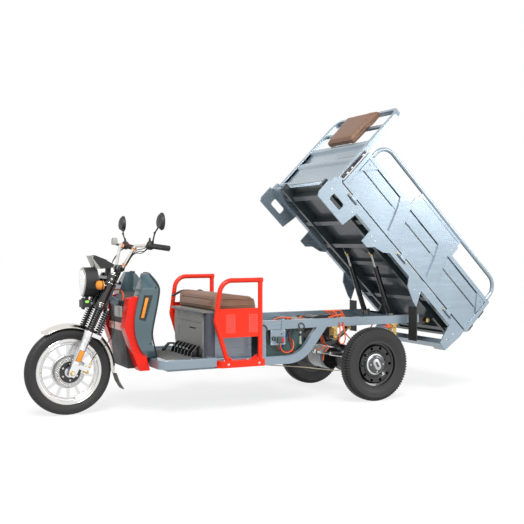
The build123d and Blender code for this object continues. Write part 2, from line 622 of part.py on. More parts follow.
PANEL = 4.0
PANEL_FLANGE = 20.0
PANEL_TOP = 689.0
PANEL_BOTTOM = 498.0
guard_bar = GUARD_TOP - GUARD_TUBE
panel_edge = [(GUARD_REAR, PANEL_BOTTOM), (1166, PANEL_BOTTOM), (1206, 606), (1196, PANEL_TOP), (GUARD_REAR, PANEL_TOP)]
panel_border = [(GUARD_REAR + 24, PANEL_BOTTOM + 16), (1144, PANEL_BOTTOM + 16), (1180, 602), (1170, PANEL_TOP - 16),
                (GUARD_REAR + 24, PANEL_TOP - 16)]
with BuildPart() as guard:
    with BuildLine() as front_tube:
        FilletPolyline((GUARD_REAR, GUARD_AT, guard_bar), (1172, GUARD_AT, guard_bar), (1211, GUARD_AT, 606),
                       (1129, GUARD_AT, LOWER_TOP - 2), radius=(90, 60))
    tube(front_tube.line, GUARD_TUBE)
    rod((GUARD_REAR, GUARD_AT, LOWER_TOP - 2), (GUARD_REAR, GUARD_AT, GUARD_TOP), GUARD_TUBE)
    rod((GUARD_REAR - GUARD_TUBE, GUARD_AT, guard_bar), (GUARD_REAR + 1, GUARD_AT, guard_bar), GUARD_TUBE)
    side_plate(panel_edge, GUARD_AT + 6 - PANEL, GUARD_AT + 6)
    with BuildSketch(Plane.XZ.offset(-GUARD_AT - 5)) as border:
        with BuildLine():
            Polyline(*panel_border, close=True)
        make_face()
        offset(amount=-5, mode=Mode.SUBTRACT)
    extrude(border.sketch, amount=-3)
    for z in (PANEL_BOTTOM, PANEL_TOP - PANEL):
        box((GUARD_REAR, GUARD_AT + 6 - PANEL_FLANGE, z), (1170, GUARD_AT + 6, z + PANEL))
    with BuildSketch(Plane.XY.offset(LOWER_TOP - 46)) as foot:
        with BuildLine():
            Polyline((862, GUARD_AT - GUARD_BASE), (GUARD_BASE_FRONT, GUARD_AT - GUARD_BASE),
                     (GUARD_BASE_FRONT - 34, GUARD_AT + GUARD_BASE), (862, GUARD_AT + GUARD_BASE), close=True)
        make_face()
    extrude(foot.sketch, amount=46)
    with BuildSketch(Plane.XZ.offset(-GUARD_AT - 10)):
        for x in (941, 1100):
            with Locations((x, (PANEL_BOTTOM + PANEL_TOP) / 2)):
                with GridLocations(28, 19, 3, 7):
                    Circle(4.5)
    extrude(amount=-20, mode=Mode.SUBTRACT)

for part, name in ((floor_tub, "floor_tub"), (seat_box, "seat_box"), (seat_cover, "seat_cover"),
                   (seat_cushion, "seat_cushion"), (floor_controls, "floor_controls"), (guard, "guard_left")):
    keep(part.part, name, VEHICLE)
keep(mirror(guard.part, about=Plane.XZ), "guard_right", VEHICLE)

# ---- Leg shield: a moulded slate shield with a red cheek on each wing ----
SHIELD_BOTTOM = FLOOR_TOP + SEAT
SHIELD_TOP = 926.0
TRUNK_HALF = 160.0
TRUNK_FACE = -335.0
CHEEK_INNER = 165.0
CHEEK_OUTER = 256.0
VENT_SHEET = 6.0
cheek_rear = [(-455, 292), (-365, 572), (-397, 780)]
vent = [(-428, 788), (-487, 787), (-438, 617), (-392, 628)]
with BuildPart() as leg_shield:
    with BuildSketch(Plane.XZ) as side_view:
        with BuildLine():
            rear = Spline((-487, SHIELD_TOP), (-535, 850), (-515, 704), (-481, 545), (-531, SHIELD_BOTTOM))
            Line(rear @ 1, (cheek_rear[0][0], SHIELD_BOTTOM))
            front = Spline((cheek_rear[0][0], SHIELD_BOTTOM), cheek_rear[1], cheek_rear[2], (-447, SHIELD_TOP))
            Line(front @ 1, rear @ 0)
        make_face()
    extrude(amount=SHIELD_HALF, both=True)
    with BuildSketch(Plane.YZ.offset(-WHEELBASE)) as front_view:
        with BuildLine():
            right_edge = [(95, 800), (95, SHIELD_TOP), (205, SHIELD_TOP), (SHIELD_HALF, 830), (SHIELD_HALF, 420),
                          (230, SHIELD_BOTTOM)]
            Polyline(*right_edge, *((-y, z) for y, z in reversed(right_edge)), close=True)
        make_face()
        fillet(front_view.vertices(), 24)
    extrude(amount=WHEELBASE, mode=Mode.INTERSECT)
    side_plate([(-485, 300), (-237, 300), (-237, 1000), (-481, 1000), (-481, 860), (-451, 560), (-473, 420)],
               -TRUNK_HALF, TRUNK_HALF, mode=Mode.SUBTRACT)
    for low, high in both_sides(SHIELD_HALF - VENT_SHEET / 2, SHIELD_HALF + 1):
        side_plate(vent, low, high, mode=Mode.SUBTRACT)

VENT_SLOTS = 4
SLOT_SPACING = 34
with BuildPart() as shield_liner:
    for low, high in both_sides(SHIELD_HALF - VENT_SHEET / 2 + SEAT, SHIELD_HALF + VENT_SHEET / 2):
        side_plate([(-431, 784), (-482, 783), (-436, 622), (-396, 632)], low, high)
        for slot in range(VENT_SLOTS):
            x, z = -467 + slot * 10, 754 - slot * SLOT_SPACING
            box((x, low, z), (x + 34, high, z + 9), Mode.SUBTRACT)

with BuildPart() as shield_cheeks:
    for low, high in both_sides(CHEEK_INNER, CHEEK_OUTER):
        side_plate([(-477, 292), (-397, 560), (-447, 790), (-335, 764), (-304, 574), (-403, 292)], low, high, 8)
    add(leg_shield.part, mode=Mode.SUBTRACT)

with BuildPart() as front_trunk:
    side_plate([(-439, 300), (-357, 300), (TRUNK_FACE, 560), (TRUNK_FACE, 740), (-427, 800), (-447, 700), (-427, 560)],
               SEAT - TRUNK_HALF, TRUNK_HALF - SEAT)
    box((TRUNK_FACE - 1, -70, 632), (TRUNK_FACE + 10, 70, 713))
    tube(down_tube.line, DOWN_TUBE + SEAT, Mode.SUBTRACT)

for part, name in ((leg_shield, "leg_shield"), (shield_liner, "shield_liner"), (shield_cheeks, "shield_cheeks"),
                   (front_trunk, "front_trunk")):
    keep(part.part, name, FRONT)

# ================= Steering =================

with BuildPart() as fork_legs:
    for side in SIDES:
        with Locations((0, side * LEG_AT, LEG_TOP / 2)):
            Cylinder(LEG_RADIUS, LEG_TOP)
        low, high = sorted((side * (LEG_AT - LEG_RADIUS + 4), side * (LEG_AT + LEG_RADIUS)))
        side_plate([(-20, -24), (20, -24), (27, 10), (27, 60), (-27, 60), (-27, 10)], low, high, 8)
        box((-REAR_SPRING_BACK - SPRING_RADIUS, side * LEG_AT - 22, LEG_TOP - 26),
            (0, side * LEG_AT + 22, LEG_TOP))
    rod((0, -LEG_AT - 44, 0), (0, LEG_AT + 44, 0), FRONT_AXLE_RADIUS)

COILS = 9
COIL_WIRE = 6.0
pitch = (LOWER_YOKE - LEG_TOP) / COILS
coil_line = [(SPRING_RADIUS - COIL_WIRE * (step % 2 == 0), LEG_TOP + step * pitch / 2) for step in range(2 * COILS + 1)]
with BuildPart() as spring_column:
    with BuildSketch(Plane.XZ):
        with BuildLine():
            Polyline(*coil_line, (0, LOWER_YOKE), (0, LEG_TOP), close=True)
        make_face()
    revolve(axis=Axis.Z)
with BuildPart() as fork_springs:
    with Locations(*((x, side * LEG_AT, 0) for x in (0, -REAR_SPRING_BACK) for side in SIDES)):
        add(spring_column.part)

COVER_TOP = 694.0
CLAMP_HEIGHT = 755.0         # handlebar's middle above the axle, along the fork
RISER_AT = 38.0
RISER_RADIUS = 13.0
with BuildPart() as fork_yokes:
    for z, back in ((LOWER_YOKE, REAR_SPRING_BACK), (UPPER_YOKE, STEER_OFFSET)):
        with BuildSketch(Plane.XY.offset(z)):
            with Locations(*((0, side * LEG_AT) for side in SIDES)):
                Circle(COVER_RADIUS + 6)
            with Locations(*((-back, side * LEG_AT * 0.9) for side in SIDES)):
                Circle(COVER_RADIUS)
            make_hull()
        extrude(amount=YOKE_THICKNESS)
    with Locations((-STEER_OFFSET, 0, (LOWER_YOKE + UPPER_YOKE) / 2)):
        Cylinder(STEM_RADIUS, UPPER_YOKE - LOWER_YOKE)
    for side in SIDES:
        rod((0, side * LEG_AT, LOWER_YOKE), (0, side * LEG_AT, COVER_TOP), COVER_RADIUS)
        riser = side * RISER_AT
        rod((-STEER_OFFSET, riser, UPPER_YOKE), (-STEER_OFFSET, riser, CLAMP_HEIGHT), RISER_RADIUS)
        rod((-STEER_OFFSET, riser - RISER_RADIUS, CLAMP_HEIGHT), (-STEER_OFFSET, riser + RISER_RADIUS, CLAMP_HEIGHT),
            HANDLEBAR_RADIUS + 9)
    rod((-STEER_OFFSET, -90, CLAMP_HEIGHT), (-STEER_OFFSET, 90, CLAMP_HEIGHT), HANDLEBAR_RADIUS,
        Mode.SUBTRACT)
yokes_in_place = FORK_TILT * fork_yokes.part

BAR_END = Vector(-570, 348, 1090)
BAR_BEND = Vector(-469, 250, 1108)
clamp = (FORK_TILT * Location((-STEER_OFFSET, 0, CLAMP_HEIGHT))).position
left_half = [Vector(clamp.X, 70, clamp.Z), Vector(clamp.X - 60, 165, clamp.Z + 150), BAR_BEND, BAR_END]
with BuildPart() as handlebar:
    with BuildLine() as bar:
        FilletPolyline(*reversed(left_half), *(Vector(v.X, -v.Y, v.Z) for v in left_half), radius=25)
    tube(bar.line, HANDLEBAR_RADIUS)

GRIP_LENGTH = 120.0
GRIP_RADIUS = 16.0
SWITCH_RADIUS = 24.0
PERCH_RADIUS = 9.0
LEVER_RADIUS = 6.0
LEVER_LENGTH = 120.0
LEVER_REACH = 40.0           # from the grip's middle line to its lever
along = (BAR_BEND - BAR_END).normalized()
grip_inner = BAR_END + along * (GRIP_LENGTH - 6)
switch_end = grip_inner + along * 34
perch_root = switch_end - along * 14
forward = Vector(-along.Y, along.X, 0).normalized()
pivot = perch_root + forward * LEVER_REACH
with BuildPart() as left_grip:
    rod(tuple(BAR_END - along * 6), tuple(grip_inner), GRIP_RADIUS)
    rod(tuple(grip_inner), tuple(switch_end), SWITCH_RADIUS)
    rod(tuple(perch_root), tuple(pivot), PERCH_RADIUS)
    add(handlebar.part, mode=Mode.SUBTRACT)
with BuildPart() as left_lever:
    lever_tip = pivot - along * LEVER_LENGTH + forward * 10
    rod(tuple(pivot - along * (PERCH_RADIUS + SEAT)), tuple(lever_tip), LEVER_RADIUS)
with BuildPart() as grips:
    for piece in (left_grip.part, left_lever.part):
        add(piece)
        add(mirror(piece, about=Plane.XZ))

MIRROR_STEM = 5.0
with BuildPart() as mirrors:
    for side in SIDES:
        foot = (-487, side * 268, 1112)
        knee = (-483, side * 330, 1190)
        head = (-504, side * 388, 1250)
        rod(foot, knee, MIRROR_STEM)
        with Locations(knee):
            Sphere(MIRROR_STEM)
        rod(knee, head, MIRROR_STEM)
        with BuildSketch(Plane(origin=(-503, side * 399, 1263), z_dir=(1, 0, 0.1))):
            Ellipse(50, 57)
        extrude(amount=16, taper=20)
    add(handlebar.part, mode=Mode.SUBTRACT)
    add(grips.part, mode=Mode.SUBTRACT)

with BuildPart() as display_pod:
    side_plate([(-287, 962), (-207, 955), (-151, 1028), (-165, 1042), (-247, 1010), (-297, 982)], -62, 62, 4)
    box((-287, -16, 880), (-257, 16, 970))
    add(yokes_in_place, mode=Mode.SUBTRACT)

LAMP_FRONT = -97.0
LAMP_BACK = -185.0
LAMP_MIDDLE = 867.0
LENS_DEPTH = 12.0
LENS_SHARE = 0.86            # the lens's outline against the housing's
LENS_FIT = LENS_SHARE - 0.005
LAMP_LOBES = ((12.0, 86.0), (-50.0, 48.0))   # height from the lamp's middle, and radius


def lamp_section(x, share=1.0):
    """Outline of the headlamp, a rounded shield, at a place along the vehicle."""
    with BuildSketch(Plane.YZ.offset(x)) as section:
        for height, radius in LAMP_LOBES:
            with Locations((0, LAMP_MIDDLE + height * share)):
                Circle(radius * share)
        make_hull()
    return section.sketch


with BuildPart() as headlamp_housing:
    extrude(lamp_section(LAMP_BACK), amount=LAMP_FRONT - LAMP_BACK - 3)
    extrude(lamp_section(LAMP_FRONT - LENS_DEPTH, LENS_SHARE), amount=LENS_DEPTH, mode=Mode.SUBTRACT)
    for side in SIDES:
        low, high = sorted((side * 52, side * 72))
        box((-251, low, LAMP_MIDDLE - 40), (LAMP_BACK + 20, high, LAMP_MIDDLE - 28))
    box((-143, -42, 702), (-87, 42, 750))
    box((-137, -10, 745), (-117, 10, LAMP_MIDDLE - 90))
    add(yokes_in_place, mode=Mode.SUBTRACT)
with BuildPart() as headlamp_lens:
    extrude(lamp_section(LAMP_FRONT - LENS_DEPTH + SEAT, LENS_FIT), amount=LENS_DEPTH)

INDICATOR_AT = 128.0
with BuildPart() as indicators:
    for side in SIDES:
        rod((-202, side * INDICATOR_AT, 851), (-162, side * INDICATOR_AT, 851), 28)
        rod((-241, side * (LEG_AT + 8), 845), (-187, side * INDICATOR_AT, 851), 6)
    add(yokes_in_place, mode=Mode.SUBTRACT)

with BuildPart() as fender_stays:
    for side in SIDES:
        low, high = sorted((side * (FENDER_HALF - FENDER_SHEET), side * (FENDER_HALF + 1)))
        box((-18, low, LEG_TOP - 26), (18, high, LEG_TOP + 14))
        low, high = sorted((side * FENDER_HALF, side * (LEG_AT - LEG_RADIUS + 5)))
        box((-18, low, LEG_TOP - 26), (18, high, LEG_TOP - 2))
with BuildPart() as front_fender:
    start = 62.0
    with BuildSketch(Plane(origin=(0, 0, 0), x_dir=(cos(radians(start)), 0, sin(radians(start))),
                           z_dir=(-sin(radians(start)), 0, cos(radians(start))))):
        with BuildLine():
            ThreePointArc((FENDER_RADIUS - 26, -FENDER_HALF), (FENDER_RADIUS, 0), (FENDER_RADIUS - 26, FENDER_HALF))
            Line((FENDER_RADIUS - 26, FENDER_HALF), (FENDER_RADIUS - 26, FENDER_HALF - FENDER_SHEET))
            ThreePointArc((FENDER_RADIUS - 26, FENDER_HALF - FENDER_SHEET), (FENDER_RADIUS - FENDER_SHEET, 0),
                          (FENDER_RADIUS - 26, FENDER_SHEET - FENDER_HALF))
            Line((FENDER_RADIUS - 26, FENDER_SHEET - FENDER_HALF), (FENDER_RADIUS - 26, -FENDER_HALF))
        make_face()
    revolve(axis=Axis((0, 0, 0), (0, -1, 0)), revolution_arc=123)
    add(Location((0, 0, 0), (0, -RAKE, 0)) * fender_stays.part)
    add(Location((0, 0, 0), (0, -RAKE, 0)) * fork_legs.part, mode=Mode.SUBTRACT)

with BuildPart() as fender_flap:
    side_plate([(-311, 257), (-316, 257), (-337, 198), (-367, 150), (-362, 146), (-331, 196)], -48, 48)

CALIPER_MIDDLE = disc_at + DISC_THICKNESS / 2
DISC_GAP = 1.5
with BuildPart() as caliper:
    box((-112, CALIPER_MIDDLE - 17, 22), (-62, CALIPER_MIDDLE + 17, 92))
    box((-118, CALIPER_MIDDLE - DISC_THICKNESS / 2 - DISC_GAP, 0),
        (-58, CALIPER_MIDDLE + DISC_THICKNESS / 2 + DISC_GAP, 100), Mode.SUBTRACT)
    box((-112, CALIPER_MIDDLE - 17, 60), (-100, CALIPER_MIDDLE + 17, 92))
    box((-90, CALIPER_MIDDLE + 8, 40), (-10, LEG_AT - 8, 70))
    add(fork_legs.part, mode=Mode.SUBTRACT)

HOSE = 6.0
hose_end = (FORK_TILT * Location((-106, CALIPER_MIDDLE, 92))).position
hose_lead = (FORK_TILT * Location((-106, CALIPER_MIDDLE, 136))).position
HOSE_ROUTE = ((-262, 56, 748), (-275, 60, 708), (-284, 66, 664), (-290, 76, 616), (-288, 85, 566), (-274, 90, 518),
              (-248, 87, 474), (-214, 76, 436), (-176, 60, 402), tuple(hose_lead), tuple(hose_end))
brake_hose = cord("brake_hose", HOSE_ROUTE, HOSE)

for part, name in ((fork_legs, "fork_legs"), (fork_springs, "fork_springs"), (fork_yokes, "fork_yokes"),
                   (caliper, "caliper")):
    keep(part.part, name, FORK)
for part, name in ((handlebar, "handlebar"), (grips, "grips"), (mirrors, "mirrors"), (display_pod, "display_pod"),
                   (headlamp_housing, "headlamp_housing"), (headlamp_lens, "headlamp_lens"),
                   (indicators, "indicators"), (fender_flap, "fender_flap")):
    keep(part.part, name, FRONT)
keep(brake_hose, "brake_hose", FRONT)
keep(front_fender.part, "front_fender", FRONT_WHEEL)

# ================= Tipping bed =================

RAIL_INSIDE = BED_HALF - RAIL_WIDTH
CROSS_BARS = (60.0, 400.0, 960.0, 1200.0, BED_LENGTH - 137)
STIFFENERS = (560.0, 740.0)
STRUT_BAR = CROSS_BARS[2]
BED_CROSS_DEPTH = 50.0
BED_CROSS_WIDTH = 40.0
FLOOR_RIB_PITCH = 120
REAR_BAR = 28.0
beam_inside = BEAM_AT - BEAM_WIDTH / 2
beam_outside = BEAM_AT + BEAM_WIDTH / 2
with BuildPart() as bed_floor:
    box((-4, -BED_HALF + 25, 0), (HEADBOARD_REAR - SEAT, BED_HALF - 25, SHEET))
    for y in range(-3 * FLOOR_RIB_PITCH, 3 * FLOOR_RIB_PITCH + 1, FLOOR_RIB_PITCH):
        box((10, y - 16, 0), (HEADBOARD_REAR - 20, y + 16, SHEET + 5))

hinge_y = BED_HALF + GATE_HINGE_OUT
knuckle_room = KNUCKLE_LENGTH / 2 + KNUCKLE_GAP
ear_out = knuckle_room + HINGE_EAR


def hinge_pin(middle, along, inner_gap):
    """Two ears and the pin between them, for one knuckle of a gate."""
    reach = inner_gap + HINGE_EAR
    for end in BOTH_ENDS:
        start = tuple(m + end * a * inner_gap for m, a in zip(middle, along))
        stop = tuple(m + end * a * reach for m, a in zip(middle, along))
        rod(start, stop, KNUCKLE_RADIUS)
    rod(tuple(m - a * reach for m, a in zip(middle, along)), tuple(m + a * reach for m, a in zip(middle, along)),
        KNUCKLE_PIN)


with BuildPart() as bed_beams:
    for side in SIDES:
        near = side * BEAM_AT
        box((REAR_BAR + SEAT, near - BEAM_WIDTH / 2, -RAIL_DEPTH), (BED_LENGTH - 10, near + BEAM_WIDTH / 2, -SEAT))
        side_plate([(HINGE_FROM_TAIL - 45, -RAIL_DEPTH + 4), (HINGE_FROM_TAIL - 20, -HINGE_BELOW_FLOOR - 6),
                    (HINGE_FROM_TAIL - 8, -HINGE_BELOW_FLOOR - 22), (HINGE_FROM_TAIL + 8, -HINGE_BELOW_FLOOR - 22),
                    (HINGE_FROM_TAIL + 20, -HINGE_BELOW_FLOOR - 6), (HINGE_FROM_TAIL + 45, -RAIL_DEPTH + 4)],
                   near - LUG_WIDTH / 2, near + LUG_WIDTH / 2)
    for places, depth in ((CROSS_BARS, BED_CROSS_DEPTH), (STIFFENERS, 20.0)):
        for u in places:
            rear, front = u - BED_CROSS_WIDTH / 2, u + BED_CROSS_WIDTH / 2
            box((rear, SEAT - beam_inside, -depth), (front, beam_inside - SEAT, -SEAT))
            for low, high in both_sides(beam_outside + SEAT, RAIL_INSIDE):
                box((rear, low, -depth), (front, high, -SEAT))
    for side in SIDES:
        ear = side * STRUT_SPREAD + STRUT_EYE_WIDTH / 2 + 3
        side_plate([(STRUT_EYE_U - 12, -8), (STRUT_EYE_U - 16, STRUT_EYE_W - 8), (STRUT_EYE_U + 4, STRUT_EYE_W - 18),
                    (STRUT_BAR - 15, -BED_CROSS_DEPTH), (STRUT_BAR - 15, -8)], ear, ear + 6)
    box((0, -RAIL_INSIDE, -RAIL_DEPTH), (REAR_BAR, RAIL_INSIDE, -SEAT))
    for y in TAIL_HINGES:
        hinge_pin((TAIL_HINGE_U, y, TAIL_HINGE_W), (0, 1, 0), knuckle_room)
        for end in BOTH_ENDS:
            near = y + end * (ear_out - HINGE_EAR / 2) - HINGE_EAR / 2
            box((TAIL_HINGE_U, near, TAIL_HINGE_W - 7), (2, near + HINGE_EAR, TAIL_HINGE_W + 7))
    rod((HINGE_FROM_TAIL, -BED_HALF, -HINGE_BELOW_FLOOR), (HINGE_FROM_TAIL, BED_HALF, -HINGE_BELOW_FLOOR),
        HINGE_PIN_RADIUS + RUNNING, Mode.SUBTRACT)

front_arch = [(1130, -58), (1130, -165), (1066, -166), (1020, -120), (943, -98), (895, -58)]
rear_arch = [(662, -58), (614, -119), (500, -166), (452, -173), (505, -58)]
rear_ear = [(134, -58), (134, -71), (105, -210), (29, -218), (0, -58)]
front_ear = [(BED_LENGTH - 306, -58), (BED_LENGTH - 280, -EAR_DROP), (BED_LENGTH, -EAR_DROP),
             (BED_LENGTH + 18, -170), (BED_LENGTH + 18, -58)]
with BuildPart() as side_rail:
    box((0, RAIL_INSIDE + SEAT, -RAIL_DEPTH), (BED_LENGTH, BED_HALF, -SEAT))
    for outline in (front_arch, rear_arch, rear_ear, front_ear):
        side_plate(outline, BED_HALF - EAR_SHEET, BED_HALF)
    with BuildSketch(Plane.XZ.offset(-BED_HALF)):
        with Locations((BED_LENGTH - 132, -120)):
            RectangleRounded(116, 58, 16)
        with Locations((72, -150)):
            Circle(9)
    extrude(amount=EAR_SHEET, mode=Mode.SUBTRACT)
    for u in GATE_HINGES:
        box((u - ear_out - 4, BED_HALF - 6, GATE_HINGE_W - 14), (u + ear_out + 4, BED_HALF, 0), Mode.SUBTRACT)
        hinge_pin((u, hinge_y, GATE_HINGE_W), (1, 0, 0), knuckle_room)
        for end in BOTH_ENDS:
            near = u + end * (ear_out - HINGE_EAR / 2) - HINGE_EAR / 2
            box((near, BED_HALF - 7, GATE_HINGE_W - 7), (near + HINGE_EAR, hinge_y, GATE_HINGE_W + 7))

with BuildPart() as rear_valance:
    box((40, -BED_HALF + EAR_SHEET + SEAT, -214), (96, BED_HALF - EAR_SHEET - SEAT, -170))
    for low, high in both_sides(BED_HALF - 150, BED_HALF - 30):
        box((14, low, -212), (40, high, -172))

# ---- Headboard: an arched frame, a pressed lower panel and a crossbar behind the pad ----
WINDOW_LOW = 405.0
WINDOW_HIGH = 735.0
CROSSBAR = (576.0, 604.0)
CROSSBAR_DEPTH = 20.0
PRESSED_SHEET = 6.0
PRESSING = ((0, 32), (32, 32), (48, 16), (190, 16), (204, 30), (246, 30), (260, 14), (356, 14), (370, 34),
            (WINDOW_LOW, 34))
board_outer = BED_HALF - 5
board_inner = board_outer - POST_FACE
with BuildPart() as headboard:
    with BuildSketch(Plane.YZ.offset(HEADBOARD_REAR)):
        with BuildLine():
            left_edge = [(board_outer, 0), (board_outer, HEADBOARD_TOP - HEADBOARD_CORNER),
                         (board_outer - 30, HEADBOARD_TOP - 30), (board_outer - HEADBOARD_CORNER, HEADBOARD_TOP)]
            Line(left_edge[0], left_edge[1])
            RadiusArc(left_edge[1], left_edge[3], -HEADBOARD_CORNER)
            Line(left_edge[3], (-left_edge[3][0], HEADBOARD_TOP))
            RadiusArc((-left_edge[3][0], HEADBOARD_TOP), (-board_outer, left_edge[1][1]), -HEADBOARD_CORNER)
            Polyline((-board_outer, left_edge[1][1]), (-board_outer, 0), (-board_inner, 0), (-board_inner, 690))
            RadiusArc((-board_inner, 690), (-board_inner + 45, WINDOW_HIGH), 45)
            Line((-board_inner + 45, WINDOW_HIGH), (board_inner - 45, WINDOW_HIGH))
            RadiusArc((board_inner - 45, WINDOW_HIGH), (board_inner, 690), 45)
            Polyline((board_inner, 690), (board_inner, 0), left_edge[0])
        make_face()
    extrude(amount=HEADBOARD_DEPTH)
    front_line = [(HEADBOARD_REAR + depth, w) for w, depth in PRESSING]
    back_line = [(u - PRESSED_SHEET, w) for u, w in reversed(front_line)]
    side_plate(front_line + back_line, SEAT - board_inner, board_inner - SEAT)
    box((HEADBOARD_REAR, SEAT - board_inner, CROSSBAR[0]),
        (HEADBOARD_REAR + CROSSBAR_DEPTH, board_inner - SEAT, CROSSBAR[1]))

pad_back = HEADBOARD_REAR + CROSSBAR_DEPTH + SEAT
PAD_THICKNESS = 46.0
PAD_GAP = 3.0
with BuildPart() as backrest_pad:
    with BuildSketch(Plane.YZ.offset(pad_back)):
        with BuildLine():
            Polyline((-180, WINDOW_LOW + PAD_GAP), (180, WINDOW_LOW + PAD_GAP), (215, WINDOW_HIGH - PAD_GAP),
                     (-215, WINDOW_HIGH - PAD_GAP), close=True)
        make_face()
    extrude(amount=PAD_THICKNESS)
    fillet(backrest_pad.edges(), 12)

LATCH_WIDTH = 14.0
with BuildPart() as bed_latches:
    for low, high in both_sides(board_outer + SEAT, board_outer + SEAT + LATCH_WIDTH):
        side_plate([(HEADBOARD_REAR + 6, 36), (HEADBOARD_REAR + 26, 36), (HEADBOARD_REAR + 28, 110),
                    (HEADBOARD_REAR + 20, 300), (HEADBOARD_REAR + 8, 300), (HEADBOARD_REAR + 4, 110)], low, high, 3)

GATE_FACE = BED_HALF - 16.0
PANEL_LOW = GATE_GAP + GATE_FRAME
PANEL_STEP = 200.0           # height of the step in a gate's pressed panel
BAND_TOP = 282.0
PANEL_RISE = 7.0
BAND_RISE = 11.0
RIBS = ((1059.0, 960.0), (576.0, 482.0))     # middles of a leaning rib at its top and its foot
RIB_INSET = 9.0
GUSSET = 120.0
rail_low = GATE_HEIGHT - GATE_FRAME
panel_rear = GATE_REAR + GATE_FRAME
panel_front = GATE_FRONT - GATE_FRAME
loop_y = GATE_FACE + GATE_DEPTH / 2
with BuildPart() as gate:
    box((GATE_REAR, GATE_FACE, GATE_GAP), (GATE_FRONT, GATE_FACE + SHEET, GATE_HEIGHT))
    for low, high in ((GATE_GAP, PANEL_LOW), (rail_low, GATE_HEIGHT)):
        box((GATE_REAR, GATE_FACE, low), (GATE_FRONT, GATE_FACE + GATE_DEPTH, high))
    for low, high in ((GATE_REAR, panel_rear), (panel_front, GATE_FRONT)):
        box((low, GATE_FACE, GATE_GAP), (high, GATE_FACE + GATE_DEPTH, GATE_HEIGHT))
    box((panel_rear, GATE_FACE, PANEL_LOW), (panel_front, GATE_FACE + PANEL_RISE, PANEL_STEP))
    box((panel_rear, GATE_FACE, PANEL_STEP), (panel_front, GATE_FACE + BAND_RISE, BAND_TOP))
    for top, foot in RIBS:
        knee = foot + (top - foot) * 0.62
        raised([(top - 70, rail_low + 2), (top + 70, rail_low + 2), (knee + 60, PANEL_STEP), (foot + 66, PANEL_LOW - 2),
                (foot - 66, PANEL_LOW - 2), (knee - 60, PANEL_STEP)],
               GATE_FACE + SHEET - 1, GATE_DEPTH - SHEET + 1, RIB_INSET)
    for end, inward in ((panel_rear - 2, 1), (panel_front + 2, -1)):
        raised([(end, rail_low + 2), (end + inward * GUSSET, rail_low + 2), (end, rail_low - GUSSET)],
               GATE_FACE + SHEET - 1, GATE_DEPTH - SHEET - 2, RIB_INSET)
        with Locations((end + inward * GUSSET * 0.3, GATE_FACE + GATE_DEPTH, rail_low - GUSSET * 0.28)):
            Cylinder(9, 14, rotation=(90, 0, 0), mode=Mode.SUBTRACT)
    with BuildLine() as loop:
        FilletPolyline((LOOP_REAR + LOOP_TUBE, loop_y, GATE_HEIGHT - 4),
                       (LOOP_REAR + LOOP_TUBE, loop_y, LOOP_TOP - LOOP_TUBE),
                       (LOOP_FRONT - LOOP_TUBE, loop_y, LOOP_TOP - LOOP_TUBE),
                       (LOOP_FRONT - LOOP_TUBE, loop_y, GATE_HEIGHT - 4), radius=LOOP_RADIUS - LOOP_TUBE)
    tube(loop.line, LOOP_TUBE)
    side_plate([(INFILL_REAR, GATE_HEIGHT - 4), (INFILL_FRONT, GATE_HEIGHT - 4), (INFILL_FRONT, 398),
                (INFILL_FRONT - 16, 410), (INFILL_FRONT - 16, LOOP_TOP - LOOP_TUBE),
                (INFILL_REAR + 16, LOOP_TOP - LOOP_TUBE), (INFILL_REAR + 16, 410), (INFILL_REAR, 398)],
               loop_y - 5, loop_y + 5)
    for low, high in ((loop_y + 2, loop_y + 6), (loop_y - 6, loop_y - 2)):
        box((INFILL_REAR + 40, low, GATE_HEIGHT + 24), (INFILL_FRONT - 40, high, LOOP_TOP - LOOP_TUBE - 34),
            Mode.SUBTRACT)
    for u in GATE_HINGES:
        low, high = u - KNUCKLE_LENGTH / 2, u + KNUCKLE_LENGTH / 2
        rod((low, hinge_y, GATE_HINGE_W), (high, hinge_y, GATE_HINGE_W), KNUCKLE_RADIUS)
        box((low, GATE_FACE + GATE_DEPTH - 1, GATE_HINGE_W), (high, GATE_FACE + GATE_DEPTH + 4, PANEL_LOW))
    rod((GATE_REAR, hinge_y, GATE_HINGE_W), (GATE_FRONT, hinge_y, GATE_HINGE_W), KNUCKLE_PIN + RUNNING, Mode.SUBTRACT)

TAIL_DEPTH = 16.0
TAIL_POST = 15.0
tail_front = TAIL_FACE + TAIL_DEPTH
with BuildPart() as tailgate:
    box((TAIL_FACE, -TAIL_HALF, GATE_GAP), (TAIL_FACE + SHEET, TAIL_HALF, GATE_HEIGHT))
    for low, high in ((GATE_GAP, PANEL_LOW), (rail_low, GATE_HEIGHT)):
        box((TAIL_FACE, -TAIL_HALF, low), (tail_front, TAIL_HALF, high))
    for y in (TAIL_POST - TAIL_HALF, -TAIL_HALF / 3, TAIL_HALF / 3, TAIL_HALF - TAIL_POST):
        box((TAIL_FACE, y - TAIL_POST, GATE_GAP), (tail_front, y + TAIL_POST, GATE_HEIGHT))
    for low, high in both_sides(TAIL_HALF - 20, TAIL_HALF + 2):
        box((TAIL_FACE - 22, low, 33), (TAIL_FACE + 2, high, 255))
    for y in TAIL_HINGES:
        low, high = y - KNUCKLE_LENGTH / 2, y + KNUCKLE_LENGTH / 2
        rod((TAIL_HINGE_U, low, TAIL_HINGE_W), (TAIL_HINGE_U, high, TAIL_HINGE_W), KNUCKLE_RADIUS)
        box((-14, low, TAIL_HINGE_W), (TAIL_HINGE_U, high, PANEL_LOW))
    rod((TAIL_HINGE_U, -BED_HALF, TAIL_HINGE_W), (TAIL_HINGE_U, BED_HALF, TAIL_HINGE_W), KNUCKLE_PIN + RUNNING,
        Mode.SUBTRACT)

